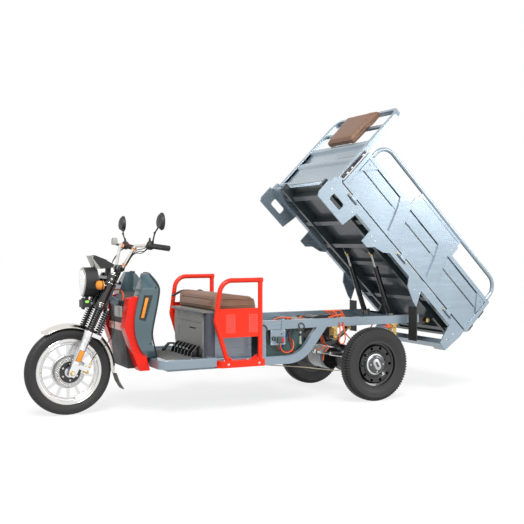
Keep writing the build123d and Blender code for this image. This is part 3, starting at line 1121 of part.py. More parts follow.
for part, name in ((bed_floor, "bed_floor"), (bed_beams, "bed_beams"), (side_rail, "side_rail_left"),
                   (rear_valance, "rear_valance"), (headboard, "headboard"), (backrest_pad, "backrest_pad"),
                   (bed_latches, "bed_latches"), (gate, "gate_left"), (tailgate, "tailgate")):
    keep(part.part, name, BED)
keep(mirror(side_rail.part, about=Plane.XZ), "side_rail_right", BED)
keep(mirror(gate.part, about=Plane.XZ), "gate_right", BED)

# ---- Mud flaps hang straight down from the rear arches ----
flap_pivot = (TIPPED * Location((FLAP_U, 0, FLAP_W))).position
with BuildPart() as mud_flap:
    box((-FLAP_SHEET / 2, FLAP_INNER, -FLAP_LENGTH), (FLAP_SHEET / 2, FLAP_OUTER, 0))
keep(mud_flap.part, "mud_flap_left", VEHICLE * Location(flap_pivot))
keep(mirror(mud_flap.part, about=Plane.XZ), "mud_flap_right", VEHICLE * Location(flap_pivot))

# ---- Lifting struts ----
CYLINDER_NECK = 26.0
CYLINDER_BORE_START = 60.0
strut_top = (TIPPED * Location((STRUT_EYE_U, 0, STRUT_EYE_W))).position
strut_line = Edge.make_line((STRUT_BASE[0], 0, STRUT_BASE[1]), (strut_top.X, 0, strut_top.Z))
STRUT = Location(Plane(origin=strut_line @ 0, x_dir=(0, 1, 0), z_dir=strut_line % 0))
with BuildPart() as strut_cylinder:
    rod((0, 0, CYLINDER_NECK), (0, 0, STRUT_CYLINDER), STRUT_RADIUS)
    rod((0, 0, 0), (0, 0, CYLINDER_NECK + 1), 10)
    rod((-10, 0, 0), (10, 0, 0), STRUT_EYE_RADIUS)
    rod((0, 0, CYLINDER_BORE_START), (0, 0, STRUT_CYLINDER + 1), STRUT_ROD_RADIUS + RUNNING, Mode.SUBTRACT)
    rod((-20, 0, 0), (20, 0, 0), STRUT_PIN + RUNNING, Mode.SUBTRACT)
with BuildPart() as strut_rod:
    rod((0, 0, 200), (0, 0, strut_line.length), STRUT_ROD_RADIUS)
    rod((-STRUT_EYE_WIDTH / 2, 0, strut_line.length), (STRUT_EYE_WIDTH / 2, 0, strut_line.length), STRUT_EYE_RADIUS)
for side, word in ((1, "left"), (-1, "right")):
    place = VEHICLE * Location((0, side * STRUT_SPREAD, 0)) * STRUT
    keep(strut_cylinder.part, f"strut_cylinder_{word}", place)
    keep(strut_rod.part, f"strut_rod_{word}", place)
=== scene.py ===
"""Dresses the electric cargo tricycle: finishes, tyres, soft goods, cables, fasteners and trim."""

import json
import logging
import math
from dataclasses import dataclass, field
from enum import Enum
from typing import Mapping, Optional, Sequence, Union

import bmesh
import bpy
from mathutils import Matrix, Vector

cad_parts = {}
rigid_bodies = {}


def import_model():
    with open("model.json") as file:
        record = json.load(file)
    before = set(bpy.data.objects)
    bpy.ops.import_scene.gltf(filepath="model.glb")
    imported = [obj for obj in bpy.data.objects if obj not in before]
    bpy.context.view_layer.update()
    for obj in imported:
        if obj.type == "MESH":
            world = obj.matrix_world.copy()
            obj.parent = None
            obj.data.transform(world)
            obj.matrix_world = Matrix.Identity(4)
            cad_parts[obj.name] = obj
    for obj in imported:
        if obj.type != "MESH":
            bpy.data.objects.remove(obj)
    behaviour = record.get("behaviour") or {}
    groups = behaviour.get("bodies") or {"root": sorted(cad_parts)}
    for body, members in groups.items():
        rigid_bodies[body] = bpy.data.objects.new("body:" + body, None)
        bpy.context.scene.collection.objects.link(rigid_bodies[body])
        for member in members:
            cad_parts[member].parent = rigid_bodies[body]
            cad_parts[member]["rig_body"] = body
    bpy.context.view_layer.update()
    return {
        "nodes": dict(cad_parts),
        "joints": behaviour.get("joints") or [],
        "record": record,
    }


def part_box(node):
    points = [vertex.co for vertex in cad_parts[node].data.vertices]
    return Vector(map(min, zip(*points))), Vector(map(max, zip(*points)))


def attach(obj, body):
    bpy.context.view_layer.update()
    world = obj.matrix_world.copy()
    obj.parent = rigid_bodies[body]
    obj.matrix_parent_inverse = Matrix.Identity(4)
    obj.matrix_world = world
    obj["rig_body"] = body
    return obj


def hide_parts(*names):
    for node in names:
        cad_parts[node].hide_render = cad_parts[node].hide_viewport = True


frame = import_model()

log = logging.getLogger("tricycle")
SIDES = (1, -1)


# ======================= Shader maths =======================


class Wire:
    """An output socket that takes part in shader maths."""

    def __init__(self, shader: "Shader", socket: bpy.types.NodeSocket) -> None:
        """Wraps one output socket of the shader's tree."""
        self.shader = shader
        self.socket = socket

    def _maths(self, operation: str, *values: "Operand") -> "Wire":
        """Adds a Math node and returns its output."""
        return self.shader.node("ShaderNodeMath", {"operation": operation}, dict(enumerate(values)))

    def __add__(self, other: "Operand") -> "Wire":
        """This value plus another."""
        return self._maths("ADD", self, other)

    def __sub__(self, other: "Operand") -> "Wire":
        """This value less another."""
        return self._maths("SUBTRACT", self, other)

    def __rsub__(self, other: "Operand") -> "Wire":
        """Another value less this one."""
        return self._maths("SUBTRACT", other, self)

    def __mul__(self, other: "Operand") -> "Wire":
        """This value times another."""
        return self._maths("MULTIPLY", self, other)

    def __truediv__(self, other: "Operand") -> "Wire":
        """This value over another."""
        return self._maths("DIVIDE", self, other)

    def __pow__(self, other: "Operand") -> "Wire":
        """This value to a power."""
        return self._maths("POWER", self, other)

    __radd__ = __add__
    __rmul__ = __mul__

    def fold(self) -> "Wire":
        """The distance of this value from the nearest whole number."""
        return self._maths("PINGPONG", self, 0.5)


Operand = Union[Wire, float, Sequence[float]]


class Shader:
    """One material's node tree, built round a Principled shader."""

    def __init__(self, name: str) -> None:
        """Starts an empty material of that name."""
        self.material = bpy.data.materials.new(name)
        self.material.use_nodes = True
        self.tree = self.material.node_tree
        self.tree.nodes.clear()
        self.surface = self.tree.nodes.new("ShaderNodeBsdfPrincipled")
        self.output = self.tree.nodes.new("ShaderNodeOutputMaterial")
        self.tree.links.new(self.surface.outputs["BSDF"], self.output.inputs["Surface"])

    def node(self, kind: str, settings: Mapping[str, object], inputs: Mapping[object, Operand],
             output: Union[int, str] = 0) -> Wire:
        """Adds a node.

        Args:
            kind: The node's type.
            settings: Its properties, with a ramp's stops as pairs of place and colour.
            inputs: Values or wires for its sockets, by name or number.
            output: The socket to hand back.

        Returns:
            That output, ready for shader maths.
        """
        made = self.tree.nodes.new(kind)
        for key, value in settings.items():
            if key == "stops":
                self._stops(made.color_ramp, value)
            else:
                setattr(made, key, value)
        for key, value in inputs.items():
            self.plug(made.inputs[key], value)
        return Wire(self, made.outputs[output])

    def _stops(self, ramp: bpy.types.ColorRamp, stops: Sequence[tuple[float, Sequence[float]]]) -> None:
        """Sets a ramp's stops."""
        while len(ramp.elements) < len(stops):
            ramp.elements.new(1.0)
        for element, (place, colour) in zip(ramp.elements, stops):
            element.position = place
            element.color = (*colour, 1.0)

    def plug(self, socket: bpy.types.NodeSocket, value: Operand) -> None:
        """Links a wire to a socket, or sets its constant."""
        if isinstance(value, Wire):
            self.tree.links.new(value.socket, socket)
        elif hasattr(value, "__len__") and socket.type == "RGBA":
            socket.default_value = (*value, 1.0)
        else:
            socket.default_value = value

    def set(self, **sockets: Operand) -> None:
        """Sets or links the Principled shader's sockets; an underscore stands for a space."""
        for name, value in sockets.items():
            self.plug(self.surface.inputs[name.replace("_", " ")], value)

    def places(self, centre: Sequence[float] = (0, 0, 0), turn: Sequence[float] = (0, 0, 0),
               scale: Sequence[float] = (1, 1, 1)) -> Wire:
        """Object coordinates, measured from a centre, then turned and scaled."""
        source = self.node("ShaderNodeTexCoord", {}, {}, "Object")
        moved = self.node("ShaderNodeMapping", {"vector_type": "TEXTURE"},
                          {0: source, 1: tuple(centre), 2: tuple(turn)})
        return self.node("ShaderNodeVectorMath", {"operation": "MULTIPLY"}, {0: moved, 1: tuple(scale)})

    def parts(self, vector: Wire) -> tuple[Wire, Wire, Wire]:
        """The three values of a vector."""
        split = self.node("ShaderNodeSeparateXYZ", {}, {0: vector})
        outputs = split.socket.node.outputs
        return Wire(self, outputs[0]), Wire(self, outputs[1]), Wire(self, outputs[2])

    def noise(self, vector: Wire, scale: float, detail: float = 3.0) -> Wire:
        """Smooth noise from 0 to 1."""
        return self.node("ShaderNodeTexNoise", {}, {"Vector": vector, "Scale": scale, "Detail": detail},
                         "Fac")

    def cells(self, vector: Wire, scale: float) -> Wire:
        """Distance to the middle of rounded cells."""
        return self.node("ShaderNodeTexVoronoi", {"feature": "SMOOTH_F1"}, {"Vector": vector, "Scale": scale},
                         "Distance")

    def band(self, value: Wire, low: float, high: float) -> Wire:
        """A value spread so that low becomes 0 and high becomes 1."""
        return self.node("ShaderNodeMapRange", {}, {"Value": value, "From Min": low, "From Max": high})

    def blend(self, factor: Operand, first: Operand, second: Operand) -> Wire:
        """A colour between two others."""
        return self.node("ShaderNodeMix", {"data_type": "RGBA"}, {0: factor, 6: first, 7: second}, 2)

    def inside(self, value: Wire, low: float, high: float) -> Wire:
        """1 where a value lies between two limits, else 0."""
        return self._compare(value, low) * self._compare(-1.0 * value, -high)

    def _compare(self, value: Wire, limit: float) -> Wire:
        """1 where a value is over a limit."""
        return self.node("ShaderNodeMath", {"operation": "GREATER_THAN"}, {0: value, 1: limit})

    def bump(self, height: Wire, distance: float, strength: float = 1.0) -> None:
        """Feeds the surface's normal from a height in units of the distance."""
        bent = self.node("ShaderNodeBump", {}, {"Height": height, "Distance": distance, "Strength": strength})
        self.set(Normal=bent)


def scaled(colour: Sequence[float], by: float) -> tuple[float, float, float]:
    """A colour made lighter or darker."""
    return tuple(min(1.0, c * by) for c in colour)


# ======================= Finishes =======================


@dataclass(frozen=True)
class Finish:
    """A surface finish; each kind draws its own shader."""

    name: str
    slot: str
    colour: tuple[float, float, float]

    def draw(self, shader: Shader) -> None:
        """Draws the finish into a shader."""
        shader.set(Base_Color=self.colour)

    def material(self) -> bpy.types.Material:
        """The material of this finish, made once."""
        known = bpy.data.materials.get(self.name)
        if known:
            return known
        shader = Shader(self.name)
        self.draw(shader)
        return shader.material


@dataclass(frozen=True)
class Enamel(Finish):
    """Sprayed paint, plain or with metal flake."""

    flake: float = 0.0
    metal: float = 0.0
    gloss: float = 0.3
    peel: float = 0.00003
    shine: float = 0.5

    def draw(self, shader: Shader) -> None:
        """Paint with a mottled tone, flake, orange peel and faint smears."""
        at = shader.places()
        cloud = shader.noise(at, 3.2)
        smear = shader.noise(shader.places(scale=(1, 1, 6)), 5.0, 5.0)
        tone = shader.blend(shader.band(cloud, 0.3, 0.7), scaled(self.colour, 0.92),
                            scaled(self.colour, 1.06))
        if self.flake:
            sparkle = shader.band(shader.noise(at, 1400.0, 1.0), 0.5, 0.72)
            tone = shader.blend(sparkle * self.flake, tone, scaled(self.colour, 1.7))
        shader.set(Base_Color=tone, Metallic=self.metal, Coat_Roughness=0.08,
                   Coat_Weight=self.shine * (0.6 + 0.4 * shader.band(cloud, 0.2, 0.8)),
                   Specular_IOR_Level=self.shine,
                   Roughness=self.gloss + 0.12 * shader.band(smear, 0.35, 0.75))
        shader.bump(shader.noise(at, 240.0, 2.0), self.peel)


@dataclass(frozen=True)
class Moulding(Finish):
    """Moulded plastic with a leather-like grain."""

    grain: float = 420.0
    depth: float = 0.00012
    gloss: float = 0.5
    coat: float = 0.0
    shine: float = 0.5

    def draw(self, shader: Shader) -> None:
        """Grained plastic, slightly scuffed."""
        at = shader.places()
        scuff = shader.noise(at, 9.0, 6.0)
        tone = shader.blend(shader.band(scuff, 0.4, 0.8), self.colour, scaled(self.colour, 1.18))
        shader.set(Base_Color=tone, Coat_Weight=self.coat, Coat_Roughness=0.12, Specular_IOR_Level=self.shine,
                   Roughness=self.gloss + 0.14 * shader.band(scuff, 0.3, 0.7))
        shader.bump(shader.cells(at, self.grain), self.depth)


@dataclass(frozen=True)
class SidedMoulding(Moulding):
    """Moulded plastic whose sides, beyond a distance from the middle of the vehicle, are another colour."""

    sides: tuple[float, float, float] = (0.06, 0.065, 0.085)
    half: float = 0.262
    ledge: float = 0.656

    def draw(self, shader: Shader) -> None:
        """Grained plastic in two colours."""
        super().draw(shader)
        at = shader.places()
        _, y, z = shader.parts(at)
        inner = shader.inside(y, -self.half, self.half)
        lower = shader.inside(z, -1.0, self.ledge)
        scuff = shader.band(shader.noise(at, 9.0, 6.0), 0.4, 0.8)
        front = shader.blend(scuff, self.colour, scaled(self.colour, 1.18))
        flank = shader.blend(scuff, self.sides, scaled(self.sides, 1.3))
        shader.set(Base_Color=shader.blend((1.0 - inner) * lower, front, flank))


@dataclass(frozen=True)
class Metal(Finish):
    """Bare or plated metal."""

    gloss: float = 0.2
    cast: float = 0.0
    stain: float = 0.1

    def draw(self, shader: Shader) -> None:
        """Metal with handling marks and, where it is cast, a fine skin."""
        at = shader.places()
        marks = shader.noise(at, 14.0, 5.0)
        tone = shader.blend(shader.band(marks, 0.45, 0.75) * self.stain, self.colour,
                            scaled(self.colour, 0.45))
        shader.set(Base_Color=tone, Metallic=1.0, Roughness=self.gloss + 0.16 * shader.band(marks, 0.35, 0.7))
        shader.bump(shader.noise(at, 520.0, 2.0), 0.00008 + self.cast)


@dataclass(frozen=True)
class TurnedMetal(Finish):
    """Metal ground or turned in rings about an axle along Y."""

    centre: tuple[float, float, float] = (0, 0, 0)
    rings: float = 900.0
    gloss: float = 0.22
    core: float = 0.0

    def draw(self, shader: Shader) -> None:
        """Fine rings about the axle."""
        x, _, z = shader.parts(shader.places(self.centre))
        reach = (x * x + z * z) ** 0.5
        rings = shader.node("ShaderNodeTexNoise", {"noise_dimensions": "1D"},
                            {"W": reach, "Scale": self.rings, "Detail": 2.0}, "Fac")
        tone = shader.blend(rings, scaled(self.colour, 0.8), scaled(self.colour, 1.1))
        tone = shader.blend(shader.inside(reach, 0.0, self.core), tone, (0.012, 0.012, 0.013))
        shader.set(Base_Color=tone, Metallic=1.0, Roughness=self.gloss + 0.15 * rings)
        shader.bump(rings, 0.0001)


@dataclass(frozen=True)
class Rubber(Finish):
    """Rubber: matt, faintly dusty, with a fine grain."""

    gloss: float = 0.62
    dust: float = 0.25

    def draw(self, shader: Shader) -> None:
        """Rubber with dust in patches."""
        at = shader.places()
        patches = shader.noise(at, 11.0, 6.0)
        tone = shader.blend(shader.band(patches, 0.45, 0.85) * self.dust, self.colour, (0.16, 0.15, 0.14))
        shader.set(Base_Color=tone, Roughness=self.gloss + 0.18 * shader.band(patches, 0.3, 0.7))
        shader.bump(shader.noise(at, 700.0, 3.0), 0.00015)


@dataclass(frozen=True)
class Leatherette(Finish):
    """Coated cloth with a pebble grain and soft creases."""

    grain: float = 300.0

    def draw(self, shader: Shader) -> None:
        """Pebble grain, worn lighter in patches."""
        at = shader.places()
        wear = shader.noise(at, 6.0, 4.0)
        pebbles = shader.cells(at, self.grain)
        creases = shader.noise(shader.places(scale=(1, 3, 1)), 16.0, 4.0)
        tone = shader.blend(shader.band(wear, 0.3, 0.75), scaled(self.colour, 0.86),
                            scaled(self.colour, 1.16))
        tone = shader.blend(shader.band(pebbles, 0.25, 0.6) * 0.35, tone, scaled(self.colour, 0.6))
        shader.set(Base_Color=tone, Roughness=0.42 + 0.16 * shader.band(wear, 0.3, 0.7), Sheen_Weight=0.08)
        shader.bump(pebbles * 0.5 + creases, 0.0006)


@dataclass(frozen=True)
class Lens(Finish):
    """A moulded lamp lens with small prisms."""

    clear: float = 0.0
    prism: float = 180.0
    glow: float = 0.0

    def draw(self, shader: Shader) -> None:
        """A glossy lens with rows of prisms."""
        at = shader.places()
        x, y, z = shader.parts(at)
        rows = (y * self.prism).fold() + (z * self.prism).fold()
        tone = shader.blend(rows, scaled(self.colour, 0.8), scaled(self.colour, 1.15))
        shader.set(Base_Color=tone, Roughness=0.08 + 0.05 * rows, Transmission_Weight=self.clear, IOR=1.5,
                   Coat_Weight=0.4 + 0.2 * rows, Coat_Roughness=0.03, Emission_Color=self.colour,
                   Emission_Strength=self.glow)
        shader.bump(rows, 0.0004)


BED_PAINT = Enamel("blue_grey_paint", "bed_paint", (0.30, 0.375, 0.44), flake=0.1, metal=0.5, gloss=0.22)
CHASSIS_PAINT = Enamel("chassis_blue_grey", "chassis_paint", (0.24, 0.305, 0.36), flake=0.1, metal=0.3,
                       gloss=0.27)
UNDER_PAINT = Enamel("dark_slate_paint", "under_paint", (0.035, 0.05, 0.055), flake=0.1, metal=0.2,
                     gloss=0.38)
RED_PAINT = Enamel("red_enamel", "red_paint", (0.90, 0.022, 0.0), gloss=0.3, shine=0.3)
RED_PLASTIC = Moulding("red_moulding", "red_plastic", (0.78, 0.010, 0.0), gloss=0.18, coat=0.12, shine=0.3,
                       depth=0.00003)
SLATE_PLASTIC = Moulding("slate_moulding", "slate_plastic", (0.062, 0.108, 0.125), gloss=0.14, coat=0.5,
                         depth=0.00003)
BLACK_PLASTIC = Moulding("black_moulding", "black_plastic", (0.013, 0.013, 0.014), gloss=0.45)
GREY_PLASTIC = Moulding("grey_beige_moulding", "grey_plastic", (0.30, 0.295, 0.265), gloss=0.5)
BLACK_METAL = Enamel("black_enamel", "black_metal", (0.008, 0.008, 0.009), gloss=0.2)
GREEN_METAL = Enamel("dark_green_paint", "green_metal", (0.02, 0.07, 0.065), gloss=0.4)
GOLD_METAL = Metal("zinc_plate", "gold_metal", (0.62, 0.43, 0.16), gloss=0.32, stain=0.5)
CHROME = Metal("bright_chrome", "chrome", (0.78, 0.75, 0.70), gloss=0.06)
ALLOY = Metal("silver_casting", "alloy", (0.74, 0.75, 0.76), gloss=0.26, cast=0.0001)
STEEL = Metal("bright_steel", "steel", (0.55, 0.55, 0.54), gloss=0.22)
TYRE = Rubber("tyre_rubber", "tyre", (0.011, 0.011, 0.0115), gloss=0.5, dust=0.05)
RUBBER = Rubber("black_rubber", "rubber", (0.014, 0.014, 0.014), gloss=0.5, dust=0.08)
GREY_RUBBER = Rubber("grey_rubber_sheet", "grey_rubber", (0.125, 0.125, 0.118))
BROWN_COVER = Leatherette("brown_leatherette", "brown_cover", (0.235, 0.118, 0.068))
CLEAR_LENS = Lens("clear_lens", "lens", (0.92, 0.94, 0.95), clear=0.9, prism=60.0)
ORANGE_LENS = Lens("orange_lens", "orange_lens", (0.74, 0.125, 0.004))
RED_LENS = Lens("red_lens", "red_plastic", (0.60, 0.008, 0.005), prism=140.0)
WIRE_RED = Rubber("orange_red_wire", "wire", (0.84, 0.115, 0.01), gloss=0.3, dust=0.0)

SILVER_PLASTIC = Moulding("pale_grey_moulding", "grey_plastic", (0.36, 0.37, 0.34), gloss=0.3, coat=0.3,
                          depth=0.00003)
SLATE_METAL = Enamel("slate_enamel", "black_metal", (0.05, 0.055, 0.065), gloss=0.3)
WHITE_LENS = Lens("white_lamp_lens", "lens", (0.86, 0.87, 0.88), prism=70.0, glow=0.22)
MIRROR_GLASS = Metal("mirror_glass", "chrome", (0.88, 0.90, 0.90), gloss=0.03, stain=0.0)
REFLECTIVE_TAPE = Lens("pink_reflective_tape", "orange_lens", (0.86, 0.40, 0.33), prism=240.0)
GREEN_LAMP = Lens("green_lamp", "lens", (0.35, 0.85, 0.10), prism=90.0, glow=0.3)
BLUE_WIRE = Rubber("blue_wire", "wire", (0.01, 0.12, 0.45), gloss=0.35, dust=0.0)
RED_WIRE = Rubber("red_wire", "wire", (0.45, 0.006, 0.006), gloss=0.35, dust=0.0)
TAN_CABLE = Rubber("tan_cable", "wire", (0.45, 0.38, 0.28), gloss=0.4, dust=0.0)
SEAM_THREAD = Leatherette("brown_piping", "brown_cover", (0.30, 0.155, 0.095), grain=900.0)

FINISH_OF_SLOT = {finish.slot: finish for finish in (
    UNDER_PAINT, BED_PAINT, CHASSIS_PAINT, RED_PAINT, RED_PLASTIC, SLATE_PLASTIC, BLACK_PLASTIC,
    GREY_PLASTIC, BLACK_METAL,
    GREEN_METAL, GOLD_METAL, CHROME, ALLOY, STEEL, TYRE, RUBBER, GREY_RUBBER, BROWN_COVER, CLEAR_LENS,
    ORANGE_LENS,
    WIRE_RED)}


def dress_frame(special: Mapping[str, Finish]) -> None:
    """Gives every piece of the frame the finish of its slot, or its own.

    Args:
        special: The pieces that have a finish of their own.
    """
    slots = {row["node"]: row["material_slot"] for row in frame["record"]["subparts"]}
    for node, thing in frame["nodes"].items():
        finish = special.get(node, FINISH_OF_SLOT[slots[node]])
        thing.data.materials.clear()
        thing.data.materials.append(finish.material())
        log.info("%s is finished in %s", node, finish.name)


# ======================= Places =======================

MM = 0.001
RAKE = 24.0
TIP_ANGLE = 45.0
HINGE_IN_BED = (-240.0, 0.0, 119.0)


def joint_place(name: str) -> Vector:
    """Where a joint's axis passes, in the vehicle's frame."""
    return Vector(next(joint["pos_m"] for joint in frame["joints"] if joint["name"] == name))


def place_at(point: Sequence[float], pitch: float = 0.0, turn: float = 0.0) -> Matrix:
    """A working frame in millimetres.

    Args:
        point: Its origin on the vehicle.
        pitch: How far its nose is raised, in degrees.
        turn: How far it is turned about the vertical, in degrees.

    Returns:
        The matrix from the working frame to the vehicle's frame.
    """
    return (Matrix.Translation(point) @ Matrix.Rotation(math.radians(turn), 4, "Z")
            @ Matrix.Rotation(math.radians(-pitch), 4, "Y") @ Matrix.Scale(MM, 4))


REAR_AXLE = joint_place("rear_wheel_left_spin")
FRONT_AXLE = joint_place("front_wheel_spin")
CHASSIS = place_at((REAR_AXLE.x, 0, 0))
FRONT = place_at((FRONT_AXLE.x, 0, 0))
FRONT_WHEEL = place_at(FRONT_AXLE)
FORK = place_at(FRONT_AXLE, RAKE)
BED = place_at(joint_place("bed_tip"), TIP_ANGLE) @ Matrix.Translation(HINGE_IN_BED)


# ======================= Studio =======================


@dataclass
class Studio:
    """A white floor, soft light from all round, and the camera."""

    camera_from_axle: tuple[float, float, float] = (1.482, 5.797, 0.84)
    heading: float = 26.6
    dip: float = 1.216
    lens: float = 61.5
    floor_reach: float = 60.0
    sky: float = 0.4
    shadow: float = 0.22

    def build(self) -> None:
        """Sets up floor, lights, camera and colour management."""
        self._floor()
        self._sky()
        self._sun("key_light", 2.3, (-34, 18, 0), 24)
        self._sun("fill_light", 0.45, (-68, -50, 0), 60)
        self._softbox("bed_softbox", (-5.2, 4.6, 2.6), (2.6, 1.8), 120)
        self._softbox("front_softbox", (3.4, 4.2, 3.4), (1.6, 1.6), 55)
        self._camera()
        bpy.context.scene.view_settings.view_transform = "Standard"

    def _floor(self) -> None:
        """A large floor at ground level: white to the eye with a soft shadow, grey as a source of light."""
        piece = Workpiece()
        bmesh.ops.create_circle(piece.mesh, cap_ends=True, segments=64, radius=self.floor_reach)
        floor = piece.plain_object("studio_floor")
        shader = Shader("studio_white")
        shader.set(Base_Color=(0.42, 0.42, 0.42), Roughness=0.9)
        seen = self._background_rays(shader.tree)
        lit = shader.node("ShaderNodeBsdfDiffuse", {}, {"Color": (1.0, 1.0, 1.0)})
        white = shader.node("ShaderNodeEmission", {}, {"Color": (1.0, 1.0, 1.0), "Strength": 1.0})
        soft = shader.node("ShaderNodeMixShader", {}, {0: self.shadow, 1: white, 2: lit})
        own = Wire(shader, shader.surface.outputs["BSDF"])
        both = shader.node("ShaderNodeMixShader", {}, {0: Wire(shader, seen), 1: own, 2: soft})
        shader.plug(shader.output.inputs["Surface"], both)
        floor.data.materials.append(shader.material)

    def _background_rays(self, tree: bpy.types.NodeTree) -> bpy.types.NodeSocket:
        """1 where the eye, a mirror or glass looks at the background, else 0."""
        path = tree.nodes.new("ShaderNodeLightPath")
        seen = path.outputs["Is Camera Ray"]
        for kind in ("Is Glossy Ray", "Is Transmission Ray"):
            either = tree.nodes.new("ShaderNodeMath")
            either.operation = "MAXIMUM"
            tree.links.new(seen, either.inputs[0])
            tree.links.new(path.outputs[kind], either.inputs[1])
            seen = either.outputs[0]
        return seen

    def _sky(self) -> None:
        """White surroundings: full white to the eye and in mirrors, softer as a light."""
        world = bpy.data.worlds.new("studio_sky")
        world.use_nodes = True
        bpy.context.scene.world = world
        tree = world.node_tree
        tree.nodes.clear()
        level = tree.nodes.new("ShaderNodeMapRange")
        level.inputs["To Min"].default_value = self.sky
        tree.links.new(self._background_rays(tree), level.inputs["Value"])
        glow = tree.nodes.new("ShaderNodeBackground")
        tree.links.new(level.outputs[0], glow.inputs["Strength"])
        glow.inputs["Color"].default_value = (1, 1, 1, 1)
        output = tree.nodes.new("ShaderNodeOutputWorld")
        tree.links.new(glow.outputs[0], output.inputs["Surface"])

    def _sun(self, name: str, strength: float, turn: Sequence[float], spread: float) -> None:
        """One broad, distant lamp."""
        lamp = bpy.data.lights.new(name, "SUN")
        lamp.energy = strength
        lamp.angle = math.radians(spread)
        thing = bpy.data.objects.new(name, lamp)
        thing.rotation_euler = [math.radians(a) for a in turn]
        bpy.context.scene.collection.objects.link(thing)

    def _softbox(self, name: str, spot: Sequence[float], size: Sequence[float], power: float) -> None:
        """A rectangular light that faces the vehicle and shows in its paint."""
        lamp = bpy.data.lights.new(name, "AREA")
        lamp.shape = "RECTANGLE"
        lamp.size, lamp.size_y = size
        lamp.energy = power
        thing = bpy.data.objects.new(name, lamp)
        thing.location = spot
        thing.rotation_euler = (Vector((0, 0, 0.9)) - Vector(spot)).to_track_quat("-Z", "Y").to_euler()
        bpy.context.scene.collection.objects.link(thing)

    def _camera(self) -> None:
        """The camera stands to the left of the front wheel and looks back along the vehicle."""
        data = bpy.data.cameras.new("camera")
        data.lens = self.lens
        camera = bpy.data.objects.new("camera", data)
        camera.location = FRONT_AXLE + Vector(self.camera_from_axle)
        heading, dip = math.radians(self.heading), math.radians(self.dip)
        look = Vector((-math.sin(heading) * math.cos(dip), -math.cos(heading) * math.cos(dip),
                       -math.sin(dip)))
        camera.rotation_euler = look.to_track_quat("-Z", "Y").to_euler()
        bpy.context.scene.collection.objects.link(camera)
        bpy.context.scene.camera = camera


# ======================= Modelling =======================

SHARP = math.radians(34)
POINTS = "XYZ"
Spot = Sequence[float]


